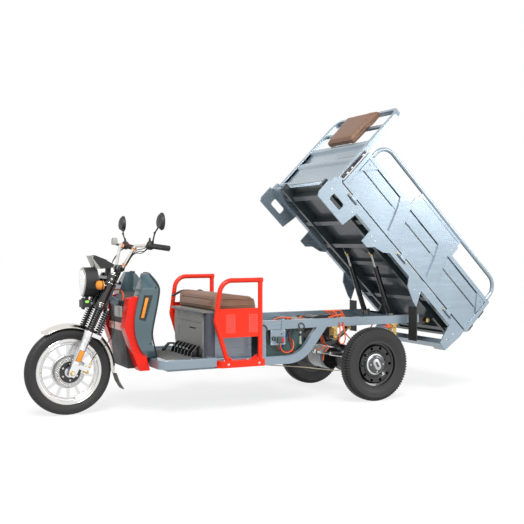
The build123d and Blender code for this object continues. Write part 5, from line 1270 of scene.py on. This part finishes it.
@dataclass
class Fairing:
    """Trim on the leg shield and its cheeks, in the front frame."""

    shield_half: float = 280.0
    edge_route: tuple[Spot, ...] = (
        (-488, 96, 926), (-489, 150, 927), (-489, 198, 926), (-498, 226, 906), (-517, 256, 872),
        (-531, 276, 842),
        (-532, 280, 806), (-523, 281, 752), (-514, 281, 704), (-498, 281, 630), (-484, 281, 562),
        (-482, 281, 520),
        (-494, 280, 462), (-508, 272, 424), (-520, 252, 396), (-530, 234, 374))

    def build(self) -> None:
        """Fits edge trim, vents, tape and latches."""
        wires("shield_edge_trim", [self.edge_route, mirrored(self.edge_route)], 5.5, FRONT, "chassis", RUBBER)
        strip = Workpiece().plate([(-436, 770), (-456, 770), (-424, 640), (-404, 640)], 282.5, 287, "Y", 1.0)
        strip.both_sides().fit("shield_marker_strips", FRONT, "chassis", ORANGE_LENS)
        grille = Workpiece()
        for row in range(15):
            for column in range(3):
                x, z = -478 + row * 2.35 + column * 6.4, 768 - row * 8.6
                grille.block((x, 282.8, z), (x + 4.4, 285.0, z + 4.4), 0.6)
        grille.both_sides().fit("shield_vent_grille", FRONT, "chassis", UNDER_PAINT)
        tape = Workpiece().block((-330, -150, 548), (-323.4, 128, 598), 0.6)
        tape.fit("reflective_tape", FRONT, "chassis", REFLECTIVE_TAPE)
        case = Workpiece().block((-335, -24, 634), (-321, 118, 708), 5, 3)
        case.fit("tool_box_lid", FRONT, "chassis", SILVER_PLASTIC)
        latch = Workpiece().bar((-326, 46, 690), (-319, 46, 690), 7, soft=1.0).block((-324, 41, 650),
                                                                                     (-319, 51, 682), 1.0)
        latch.fit("box_latch", FRONT, "chassis", STEEL)
        screws = Workpiece()
        for x, z in ((-508, 834), (-470, 470)):
            screws.bar((x, self.shield_half - 1, z), (x, self.shield_half + 1.6, z), 6, soft=0.8)
        screws.both_sides().fit("shield_screws", FRONT, "chassis", BLACK_PLASTIC)
        wires("head_cable", [[(-342, 92, 726), (-352, 94, 768), (-350, 62, 806), (-330, 24, 818),
                              (-309, 10, 812)]], 5.0,
              FRONT, "chassis", WIRE_RED)


# ======================= Rider's place =======================


@dataclass
class RidersPlace:
    """Floor, seat and guard fittings, in the rear-axle frame."""

    guard_at: float = 410.0
    rim_route: tuple[Spot, ...] = (
        (1228, -352, 736), (1196, -350, 752), (1160, -346, 772), (1120, -344, 776), (1086, -344, 762),
        (1062, -344, 754),
        (1038, -344, 766), (1008, -346, 776), (972, -348, 756), (948, -350, 740))

    def build(self) -> None:
        """Fits the pieces."""
        wires("seat_far_rim", [self.rim_route], 9.0, CHASSIS, "chassis", RUBBER)
        feet = Workpiece()
        for x in (894, 980, 1150):
            feet.bolt((x, self.guard_at + 2, 346), (0, 0, 1), 7)
        feet.bolt((905, self.guard_at + 25, 322), (0, 1, 0), 7).bolt((1130, self.guard_at + 25, 322),
                                                                     (0, 1, 0), 7)
        feet.both_sides().fit("guard_bolts", CHASSIS, "chassis", STEEL)
        gussets = Workpiece().plate([(1128, 346), (1080, 346), (1112, 372)], self.guard_at - 22,
                                    self.guard_at - 17)
        gussets.plate([(901, 346), (950, 346), (901, 378)], self.guard_at - 22, self.guard_at - 17)
        gussets.both_sides().fit("guard_gussets", CHASSIS, "chassis", RED_PAINT)
        holes = Workpiece()
        for start in (912, 1078):
            for column in range(4):
                for row in range(8):
                    x, z = start + column * 18, 533 + row * 16.0
                    holes.bar((x, self.guard_at + 5, z), (x, self.guard_at + 6.6, z), 3.2, sides=8)
        holes.both_sides().fit("guard_perforations", CHASSIS, "chassis", SILVER_PLASTIC)
        mat = Workpiece()
        for row in range(26):
            y = -300 + row * 24
            mat.block((1262, y - 6, 353.6), (1520, y + 6, 356.4), 1.2)
        mat.fit("floor_mat_ribs", CHASSIS, "chassis", GREY_RUBBER)
        edge = Workpiece()
        for side in SIDES:
            for x in (1260, 1380, 1500):
                edge.bar((x, side * 397, 369.5), (x, side * 397, 371.8), 6, soft=0.8)
        edge.fit("sill_screws", CHASSIS, "chassis", STEEL)
        knob = Workpiece().lathe((1331, -236, 371), [(0, 20), (9, 18), (13, 11), (13, -11), (9, -18),
                                                     (0, -20)],
                                 (1, 0, -1), 24)
        knob.fit("lever_knob", CHASSIS, "chassis", RUBBER)
        labels = Workpiece()
        for fin in range(5):
            labels.block((1311, -110 + fin * 62, 402), (1314, -84 + fin * 62, 414), 0.8)
        labels.fit("switch_caps", CHASSIS, "chassis", SILVER_PLASTIC)
        strip = Workpiece().block((884, -296, 352), (887, 296, 664), 1.0)
        strip.fit("seat_box_back_strip", CHASSIS, "chassis", BLACK_PLASTIC)


@dataclass
class PaddedPiece:
    """A stuffed cushion, swelled by a cloth simulation and then sewn with piping."""

    node: str
    name: str
    body: str
    base: int
    base_side: int
    voxel: float = 0.0055
    shrink: float = 0.985
    pressure: float = 4.0
    cap: float = 0.012
    fill: float = 0.7
    steps: int = 20

    def build(self) -> bpy.types.Object:
        """Makes the swelled cushion."""
        mesh = merged_copy(self.node)
        low, high = (Vector(corner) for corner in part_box(self.node))
        middle = (low + high) / 2
        middle[self.base] = (low if self.base_side < 0 else high)[self.base]
        bmesh.ops.scale(mesh, vec=(self.shrink,) * 3, space=Matrix.Translation(-middle), verts=mesh.verts)
        data = bpy.data.meshes.new(self.name)
        mesh.to_mesh(data)
        mesh.free()
        thing = bpy.data.objects.new(self.name, data)
        bpy.context.scene.collection.objects.link(thing)
        remesh = thing.modifiers.new("voxels", "REMESH")
        remesh.mode = "VOXEL"
        remesh.voxel_size = self.voxel
        self._keep(thing)
        start = [vert.co.copy() for vert in thing.data.vertices]
        swelled = self._swell(thing, start, low, high)
        for vert, first, now in zip(thing.data.vertices, start, swelled):
            moved = now - first
            if moved.length > self.cap:
                moved = moved * (self.cap / moved.length)
            spot = first + moved
            limit = (low if self.base_side < 0 else high)[self.base]
            spot[self.base] = max(spot[self.base], limit) if self.base_side < 0 else min(spot[self.base],
                                                                                         limit)
            vert.co = spot
        for _ in range(3):
            smooth = bmesh.new()
            smooth.from_mesh(thing.data)
            bmesh.ops.smooth_vert(smooth, verts=smooth.verts, factor=0.4, use_axis_x=True, use_axis_y=True,
                                  use_axis_z=True)
            smooth.to_mesh(thing.data)
            smooth.free()
        finer = thing.modifiers.new("finer", "SUBSURF")
        finer.levels = finer.render_levels = 1
        thing.data.shade_smooth()
        dress(thing, self.body, BROWN_COVER, self.node)
        return thing

    def _keep(self, thing: bpy.types.Object) -> None:
        """Applies the modifiers that are on the piece."""
        shaped = thing.evaluated_get(bpy.context.evaluated_depsgraph_get())
        thing.data = bpy.data.meshes.new_from_object(shaped)
        thing.modifiers.clear()

    def _swell(self, thing: bpy.types.Object, start: Sequence[Vector], low: Vector,
               high: Vector) -> list[Vector]:
        """Blows the cushion up as cloth and returns where its points end."""
        flat = (low if self.base_side < 0 else high)[self.base]
        held = thing.vertex_groups.new(name="held")
        held.add([k for k, spot in enumerate(start) if abs(spot[self.base] - flat) < self.voxel * 1.2], 1.0,
                 "REPLACE")
        cloth = thing.modifiers.new("swell", "CLOTH")
        cloth.settings.vertex_group_mass = "held"
        cloth.settings.use_pressure = True
        cloth.settings.uniform_pressure_force = self.pressure
        cloth.settings.effector_weights.gravity = 0
        cloth.point_cache.frame_end = self.steps
        scene = bpy.context.scene
        for step in range(1, self.steps + 1):
            scene.frame_set(step)
        shaped = thing.evaluated_get(bpy.context.evaluated_depsgraph_get())
        ends = [vert.co.copy() for vert in shaped.data.vertices]
        thing.modifiers.clear()
        thing.vertex_groups.clear()
        scene.frame_set(1)
        return ends


def seam(name: str, thing: bpy.types.Object, points: Sequence[Spot], place: Matrix, radius: float) -> None:
    """Lays piping on a cushion along the nearest points of its surface."""
    route = []
    for spot in points:
        _, near, normal, _ = thing.closest_point_on_mesh(place @ Vector(spot))
        route.append(tuple(place.inverted() @ (near + normal * radius * MM * 0.35)))
    wires(name, [route], radius, place, thing["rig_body"], SEAM_THREAD, closed=True)


def rounded_loop(corners: Sequence[tuple[float, float]], radius: float,
                 step: float) -> list[tuple[float, float]]:
    """Points round a four-cornered outline with rounded corners, no further apart than a step."""
    loop = []
    count = len(corners)
    for k in range(count):
        here, after = Vector(corners[k]), Vector(corners[(k + 1) % count])
        before = Vector(corners[k - 1])
        into, out = (here - before).normalized(), (after - here).normalized()
        loop += [tuple(here - into * radius), tuple(here - into * radius * 0.3 + out * radius * 0.3),
                 tuple(here + out * radius)]
        run = (after - here).length - 2 * radius
        parts = int(run // step)
        loop += [tuple(here + out * (radius + run * j / (parts + 1))) for j in range(1, parts + 1)]
    return loop


# ======================= Chassis =======================


@dataclass
class ChassisFittings:
    """Switch panel, wiring, springs, motor and brake cable, in the rear-axle frame."""

    harness_route: tuple[Spot, ...] = (
        (707, 363, 439.7), (707, 363, 404), (686, 366, 374), (647, 367, 366), (610, 361, 386),
        (591, 344, 418),
        (585, 322, 448), (585, 290.3, 448))
    panel: float = 355.3
    spring_at: float = 315.0
    motor: tuple[float, float] = (120.0, 268.5)

    def build(self) -> None:
        """Fits the pieces."""
        self._panel()
        self._wiring()
        self._springs()
        self._drive()

    def _panel(self) -> None:
        """Knob, plug and screws on the switch panel."""
        knob = Workpiece().bar((754, self.panel, 470), (754, self.panel + 14, 470), 15, 13.5, soft=1.5,
                               sides=32)
        knob.block((749.5, self.panel + 13, 456), (758.5, self.panel + 24, 484), 2)
        knob.bar((693, self.panel - 1, 499), (693, self.panel + 3, 499), 4.5).bar((693, self.panel - 1, 475),
                                                                                 (693, self.panel + 3, 475),
                                                                                 4.5)
        knob.fit("switch_knob", CHASSIS, "chassis", BLACK_PLASTIC)
        plug = Workpiece().block((682, self.panel, 438), (732, self.panel + 16, 482), 4, 3)
        plug.fit("charging_plug", CHASSIS, "chassis", GREEN_METAL)
        cap = Workpiece().block((682, self.panel + 14, 446), (698, self.panel + 18, 474), 2)
        cap.fit("charging_plug_cap", CHASSIS, "chassis", RED_PLASTIC)
        screws = Workpiece()
        for x in (670, 771):
            for z in (432, 520):
                screws.bar((x, self.panel - 1, z), (x, self.panel + 1.8, z), 4.5, soft=0.6)
        screws.fit("panel_screws", CHASSIS, "chassis", STEEL)
        rod = Workpiece().bar((544, 351, 530), (544, 353, 420), 7.5, soft=1).bar((544, 353, 440),
                                                                                 (544, 353, 424), 9)
        rod.fit("pale_relay", CHASSIS, "chassis", SILVER_PLASTIC)
        clip = Workpiece().block((536, 346, 512), (570, 360, 532), 2).block((534, 344, 480), (554, 362, 496),
                                                                            2)
        clip.fit("relay_clip", CHASSIS, "chassis", BLACK_PLASTIC)

    def _wiring(self) -> None:
        """The harness, battery leads and loose loops."""
        wires("harness_run", [self.harness_route], 3.5, CHASSIS, "chassis", WIRE_RED, "harness")
        loops = [
            [(236, 340, 598), (262, 346, 640), (300, 350, 646), (338, 346, 646), (344, 338, 646),
             (306, 332, 630),
             (262, 326, 606), (246, 318, 590)],
            [(204, 338, 598), (206, 346, 644), (236, 350, 646), (272, 348, 646), (286, 340, 640),
             (262, 330, 606),
             (240, 322, 590)],
            [(186, 336, 598), (192, 342, 632), (222, 346, 646), (256, 344, 646), (240, 334, 612),
             (214, 326, 594)],
            [(170, 334, 597), (196, 344, 614), (236, 346, 612), (276, 342, 604), (310, 336, 597)],
            [(226, 356, 560), (224, 357, 520), (218, 352, 470), (230, 348, 430), (212, 346, 402),
             (184, 346, 404),
             (172, 350, 440), (186, 356, 492), (192, 358, 528), (196, 357, 560)],
            [(208, 356, 540), (196, 357, 510), (168, 352, 470), (130, 340, 440), (96, 320, 420)],
            [(272, 262, 392), (300, 256, 372), (340, 250, 362), (374, 246, 360)],
            [(250, 262, 380), (276, 258, 356), (300, 254, 322), (298, 250, 280)],
            [(-146, 356, 520), (-176, 360, 506), (-204, 360, 516), (-196, 356, 530), (-168, 354, 526),
             (-210, 356, 512),
             (-232, 352, 500)],
            [(-96, 300, 536), (-60, 312, 500), (-30, 318, 470), (-6, 300, 420)],
            [(430, 196, 568), (440, 196, 590), (452, 194, 600), (470, 190, 586), (474, 186, 562)],
            [(560, 270, 566), (566, 272, 596), (590, 272, 602), (608, 268, 586), (610, 262, 560)],
            [(590, 268, 600), (640, 262, 606), (690, 256, 600), (720, 250, 570)]]
        wires("orange_loops", loops, 4.4, CHASSIS, "chassis", WIRE_RED)
        wires("battery_blue_lead", [[(600, 294, 520), (608, 296, 496), (630, 297, 456), (652, 297, 412),
                                     (660, 296, 380)]],
              3.0, CHASSIS, "chassis", BLUE_WIRE)
        wires("battery_red_leads", [
            [(604, 294, 520), (603, 296, 500), (600, 297, 450), (586, 296, 404), (576, 296, 372)],
            [(712, 300, 418), (700, 304, 392), (660, 304, 372), (590, 302, 366), (530, 300, 366),
             (500, 296, 380)]],
              3.0, CHASSIS, "chassis", RED_WIRE)
        wires("black_leads", [
            [(836, 353, 566), (818, 356, 562), (806, 358, 544), (802, 358, 516), (802, 357, 486),
             (802, 355, 462)],
            [(544, 354, 528), (566, 354, 552), (538, 354, 574), (508, 354, 548), (520, 354, 512),
             (534, 352, 500)],
            [(470, 300, 566), (430, 290, 590), (360, 270, 600), (290, 262, 598), (220, 262, 596),
             (160, 258, 590)],
            [(480, 286, 566), (430, 276, 584), (350, 262, 606), (250, 250, 604), (170, 246, 596)]],
              3.4, CHASSIS, "chassis", RUBBER)
        wires("brake_cable", [[(800, 306, 286), (647, 300, 268), (500, 298, 252), (340, 298, 226),
                               (188, 300, 204),
                               (96, 300, 214)]], 3.2, CHASSIS, "chassis", TAN_CABLE)
        plug = Workpiece().bar((802, 356, 492), (802, 355, 462), 6.5, soft=1.5).bar((802, 355, 462),
                                                                                    (802, 355, 452), 4.5)
        plug.fit("lead_connector", CHASSIS, "chassis", BLACK_PLASTIC)

    def _springs(self) -> None:
        """Spring clips, U-bolts and shackle pins."""
        gold, black = Workpiece(), Workpiece()
        for edge in (-1, 1):
            for y in (self.spring_at - 38, self.spring_at + 34):
                gold.bolt((edge * 255, y if y > self.spring_at else y + 4, 452),
                          (0, 1 if y > self.spring_at else -1, 0), 9)
            gold.bolt((edge * 255, self.spring_at + 34, 506), (0, 1, 0), 7)
            for y in (self.spring_at - 30, self.spring_at + 30):
                black.bar((edge * 30, y, 250), (edge * 30, y, 350), 5.5, soft=0.8)
                black.bar((edge * 30, y, 338), (edge * 30, y, 346), 9.5, sides=6)
            x, z = edge * 128, 376
            black.block((x - 9, self.spring_at - 28, z - 26), (x + 9, self.spring_at + 28, z + 12), 2)
        gold.both_sides().fit("shackle_bolts", CHASSIS, "chassis", GOLD_METAL)
        black.both_sides().fit("spring_u_bolts", CHASSIS, "chassis", BLACK_METAL)

    def _drive(self) -> None:
        """Motor fins, end-cap bolts, phase cables, damper and controller."""
        x, z = self.motor
        fins = Workpiece()
        for fin in range(9):
            y = -128 + fin * 20
            fins.lathe((x, y, z), [(77, -2.2), (84, -1.4), (84, 1.4), (77, 2.2), (77, -2.2)], steps=56)
        fins.lathe((x, -150, z), [(0, -9), (20, -9), (24, -5), (70, -4), (76, 2), (76, 8), (0, 8)], steps=56)
        fins.fit("motor_fins", CHASSIS, "chassis", ALLOY)
        bolts = Workpiece().bolt((x, -154, z + 62), (0, -1, 0), 6).around(8, (x, 0, z))
        bolts.fit("motor_bolts", CHASSIS, "chassis", STEEL)
        ring = Workpiece().lathe((0, 40, 262.5), [(88, -6), (97, -5), (97, 5), (88, 6), (88, -6)], steps=64)
        ring.fit("differential_flange", CHASSIS, "chassis", BLACK_METAL)
        wires("motor_leads", [[(120, y, 345), (132, y * 0.9, 400), (170, y * 0.8, 470), (210, y * 0.8, 530),
                               (236, y, 566)] for y in (-70, -48, -26)], 4.5, CHASSIS, "chassis", WIRE_RED)
        case = Workpiece().block((150, -118, 540), (332, 118, 574), 5, 3)
        for fin in range(11):
            y = -105 + fin * 21
            case.block((160, y - 3, 572), (322, y + 3, 582), 1.0)
        case.block((334, -92, 540), (438, 92, 572), 6, 3)
        case.fit("motor_controller", CHASSIS, "chassis", BLACK_METAL)
        damper = Workpiece().bar((372, 262, 352), (250, 262, 330), 9, soft=1).bar((250, 262, 330),
                                                                                  (118, 262, 306), 15, soft=2)
        damper.bar((376, 248, 352), (376, 276, 352), 14, soft=1.5).bar((112, 248, 305), (112, 276, 305), 14,
                                                                       soft=1.5)
        damper.both_sides().fit("axle_dampers", CHASSIS, "chassis", STEEL)


# ======================= Tipping bed =======================


@dataclass
class BedFittings:
    """Hinge pins, latches, lamps and bolts on the tipping bed, in the bed's frame."""

    length: float = 1600.0
    half: float = 450.0
    hinge_out: float = 456.0
    hinge_w: float = -14.0
    ear: float = 44.0

    def build(self) -> None:
        """Fits the pieces."""
        self._hinges()
        self._latches()
        self._gates()
        self._rear()

    def _hinges(self) -> None:
        """Zinc-plated pin ends at the gates' hinges, the tailgate's and the tipping pivot."""
        pins = Workpiece()
        for u in (215.0, self.length / 2 - 2, self.length - 210):
            for end in (-1, 1):
                pins.bar((u + end * (self.ear - 1), self.hinge_out, self.hinge_w),
                         (u + end * (self.ear + 7), self.hinge_out, self.hinge_w), 6.5, soft=1.2)
        for y in (0.0, 300.0):
            for end in (-1, 1):
                pins.bar((-9, y + end * (self.ear - 1), -12), (-9, y + end * (self.ear + 6), -12), 6, soft=1)
        pins.both_sides().fit("gate_pin_ends", BED, "bed", GOLD_METAL)
        bolts = Workpiece()
        for u, w in ((500, -88), (552, -96), (1096, -88), (1050, -90), (60, -90), (1560, -90), (1330, -84)):
            bolts.bar((u, self.half - 1, w), (u, self.half + 2.2, w), 5.5, soft=0.8)
        bolts.both_sides().fit("rail_rivets", BED, "bed", STEEL)
        pivot = Workpiece().bar((240, 330, -119), (240, 342, -119), 17, soft=2).both_sides()
        pivot.fit("tipping_pivot_caps", BED, "bed", GOLD_METAL)

    def _latches(self) -> None:
        """Hooks and springs of the headboard's latches."""
        hooks = Workpiece()
        for w in (66, 120, 250, 292):
            hooks.block((1550, 458, w), (1562, 466, w + 22), 1.5)
            hooks.bar((1556, 452, w + 11), (1556, 470, w + 11), 4.5, soft=0.8)
        hooks.both_sides().fit("latch_hooks", BED, "bed", STEEL)
        springs = Workpiece().coil((1556, 464, 140), (0, 0, 1), 6.0, 1.1, 96, 15)
        springs.bar((1556, 464, 128), (1556, 464, 246), 3.2)
        springs.both_sides().fit("latch_springs", BED, "bed", BLACK_METAL)

    def _gates(self) -> None:
        """Dark strips of painted shadow in the recesses of the gates' pressed panels, under the top rail and
        under the upper band.
        """
        for side, word in ((1, "left"), (-1, "right")):
            painted_shadow_strips = Workpiece()
            # Painted shadow: thin dark undercoat strips in the recess below the top rail.
            for start, end in ((30, 400), (560, 880), (1000, 1470)):
                painted_shadow_strips.block((start, side * 437, 283), (end, side * 441, 289), 0.5)
            # Painted shadow: thin dark undercoat strips along the step below the upper band.
            for start, end in ((60, 470), (640, 950), (1120, 1490)):
                painted_shadow_strips.block((start, side * 440.5, 193), (end, side * 443.5, 199.5), 0.5)
            # The dark strips stand for shade in the recesses, not for any sealer on the gate.
            painted_shadow_strips.fit(f"gate_painted_shadow_{word}", BED, f"gate_{word}", UNDER_PAINT)

    def _rear(self) -> None:
        """Tail lamps, tail indicators and the tailgate's spring latches."""
        lamps = Workpiece().block((8.5, 304, -208), (15, 416, -176), 2.5, 3).both_sides()
        lamps.fit("tail_lamps", BED, "bed", RED_LENS)
        ambers = Workpiece().block((7.5, 380, -205), (15.5, 414, -179), 2.5, 3).both_sides()
        ambers.fit("tail_indicators", BED, "bed", ORANGE_LENS)
        latch = Workpiece().block((-50, 396, 44), (-22, 428, 104), 4, 3).block((-50, 396, 176),
                                                                               (-22, 428, 246), 4, 3)
        latch.bar((-38, 412, 60), (-38, 412, 240), 6.5, soft=1)
        latch.both_sides().fit("tailgate_latches", BED, "tailgate", BLACK_METAL)
        coil = Workpiece().coil((-38, 412, 108), (0, 0, 1), 10.0, 1.8, 64, 9)
        coil.both_sides().fit("tailgate_latch_springs", BED, "tailgate", STEEL)


@dataclass
class StrutFittings:
    """Seals and pins on one lifting strut, in the strut's frame."""

    word: str
    side: int
    base: tuple[float, float, float] = (-330.0, 170.0, 582.0)
    eye: tuple[float, float, float] = (884.0, 170.0, -41.0)
    cylinder: float = 380.0

    def build(self) -> None:
        """Fits the pieces."""
        foot = CHASSIS @ Vector((self.base[0], self.side * self.base[1], self.base[2]))
        head = BED @ Vector((self.eye[0], self.side * self.eye[1], self.eye[2]))
        line = head - foot
        place = Matrix.Translation(foot) @ line.to_track_quat("Z",
                                                              "Y").to_matrix().to_4x4() @ Matrix.Scale(MM, 4)
        seals = Workpiece().bar((0, 0, self.cylinder - 12), (0, 0, self.cylinder + 5), 22, soft=2.5, sides=36)
        seals.bar((0, 0, 22), (0, 0, 40), 21.5, soft=2.5, sides=36).ring((0, 0, 150), (0, 0, 1), 20.2, 1.6)
        seals.fit(f"strut_seals_{self.word}", place, f"strut_cylinder_{self.word}", BLACK_METAL)
        collar = Workpiece().bar((0, 0, line.length / MM - 30), (0, 0, line.length / MM - 12), 12.5, soft=1.5)
        collar.fit(f"strut_rod_collar_{self.word}", place, f"strut_rod_{self.word}", GOLD_METAL)
        pin = Workpiece().bar((-330, self.side * 196, 582), (-330, self.side * 204, 582), 9, soft=1.5)
        pin.bar((-330, self.side * 136, 582), (-330, self.side * 144, 582), 9, soft=1.5)
        pin.fit(f"strut_foot_pin_{self.word}", CHASSIS, "chassis", GOLD_METAL)


# ======================= Softened frame pieces =======================

SOFT_EDGES = {
    "leg_shield": 7.0, "shield_cheeks": 6.0, "front_trunk": 5.0, "seat_cover": 3.0, "seat_box": 4.0,
    "gate_left": 1.6, "gate_right": 1.6, "tailgate": 1.6, "headboard": 2.2, "side_rail_left": 1.6,
    "side_rail_right": 1.6, "frame_rear": 2.5, "frame_front": 2.5, "rear_valance": 3.0, "display_pod": 4.0,
    "headlamp_housing": 4.0, "battery_box": 3.0, "switch_plate": 0.8, "bed_latches": 1.2, "bed_beams": 1.6,
    "floor_controls": 1.2, "caliper": 2.0}
BEND = math.radians(52)


def soften_edges(node: str, width: float) -> None:
    """Stands a copy with rounded edges in for a frame piece.

    Args:
        node: The frame piece.
        width: The width of its rounded edges, in millimetres.
    """
    mesh = merged_copy(node)
    sharp = [edge for edge in mesh.edges if len(edge.link_faces) == 2 and edge.calc_face_angle(0.0) > BEND]
    bmesh.ops.bevel(mesh, geom=sharp, offset=width * MM, segments=2, affect="EDGES", profile=0.5, material=-1,
                    clamp_overlap=True)
    piece = Workpiece()
    piece.mesh.free()
    piece.mesh = mesh
    source = frame["nodes"][node]
    thing = piece.plain_object(f"{node}_finished")
    thing.data.materials.append(source.data.materials[0])
    level = thing.modifiers.new("flat_faces", "WEIGHTED_NORMAL")
    level.keep_sharp = True
    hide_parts(node)
    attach(thing, source["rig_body"])


def cushion_loops() -> None:
    """Makes the seat cushion and the backrest pad, and sews their piping on."""
    seat = PaddedPiece("seat_cushion", "stuffed_seat", "chassis", 2, -1).build()
    low, high = (CHASSIS.inverted() @ Vector(corner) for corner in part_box("seat_cushion"))
    outline = rounded_loop([(low.x, low.y), (high.x, low.y), (high.x, high.y), (low.x, high.y)], 40, 45)
    for name, share in (("seat_lower_piping", 0.3), ("seat_upper_piping", 0.72)):
        level = low.z + (high.z - low.z) * share
        seam(name, seat, [(x, y, level) for x, y in outline], CHASSIS, 3.2)
    pad = PaddedPiece("backrest_pad", "stuffed_backrest", "bed", 0, -1, fill=0.75).build()
    pad_loop = rounded_loop([(-200, 420), (200, 420), (168, 722), (-168, 722)], 34, 45)
    for name, out in (("backrest_back_piping", 1574), ("backrest_front_piping", 1598)):
        seam(name, pad, [(out, y, w) for y, w in pad_loop], BED, 3.0)


def main() -> None:
    """Builds the studio, dresses the frame and fits every sub-assembly."""
    logging.basicConfig(level=logging.INFO)
    Studio().build()
    dress_frame({
        "rear_rim_left": BLACK_METAL, "rear_rim_right": BLACK_METAL,
        "front_rim": TurnedMetal("machined_front_rim", "alloy", (0.74, 0.74, 0.75), centre=tuple(FRONT_AXLE)),
        "front_disc": TurnedMetal("machined_disc", "steel", (0.50, 0.50, 0.49), centre=tuple(FRONT_AXLE),
                                  gloss=0.18,
                                  core=0.07),
        "seat_cover": SidedMoulding("seat_front_moulding", "grey_plastic", (0.215, 0.215, 0.195), gloss=0.36),
    })
    for word, turn in (("left", 0.0), ("right", 180.0)):
        RearWheel(word, turn).build()
    FrontWheel().build()
    for assembly in (Fork(), Handlebar(), Lamps(), Fairing(), RidersPlace(), ChassisFittings(), BedFittings(),
                     StrutFittings("left", 1), StrutFittings("right", -1)):
        assembly.build()
    for node, width in SOFT_EDGES.items():
        soften_edges(node, width)
    cushion_loops()


if __name__ == "__main__":
    main()
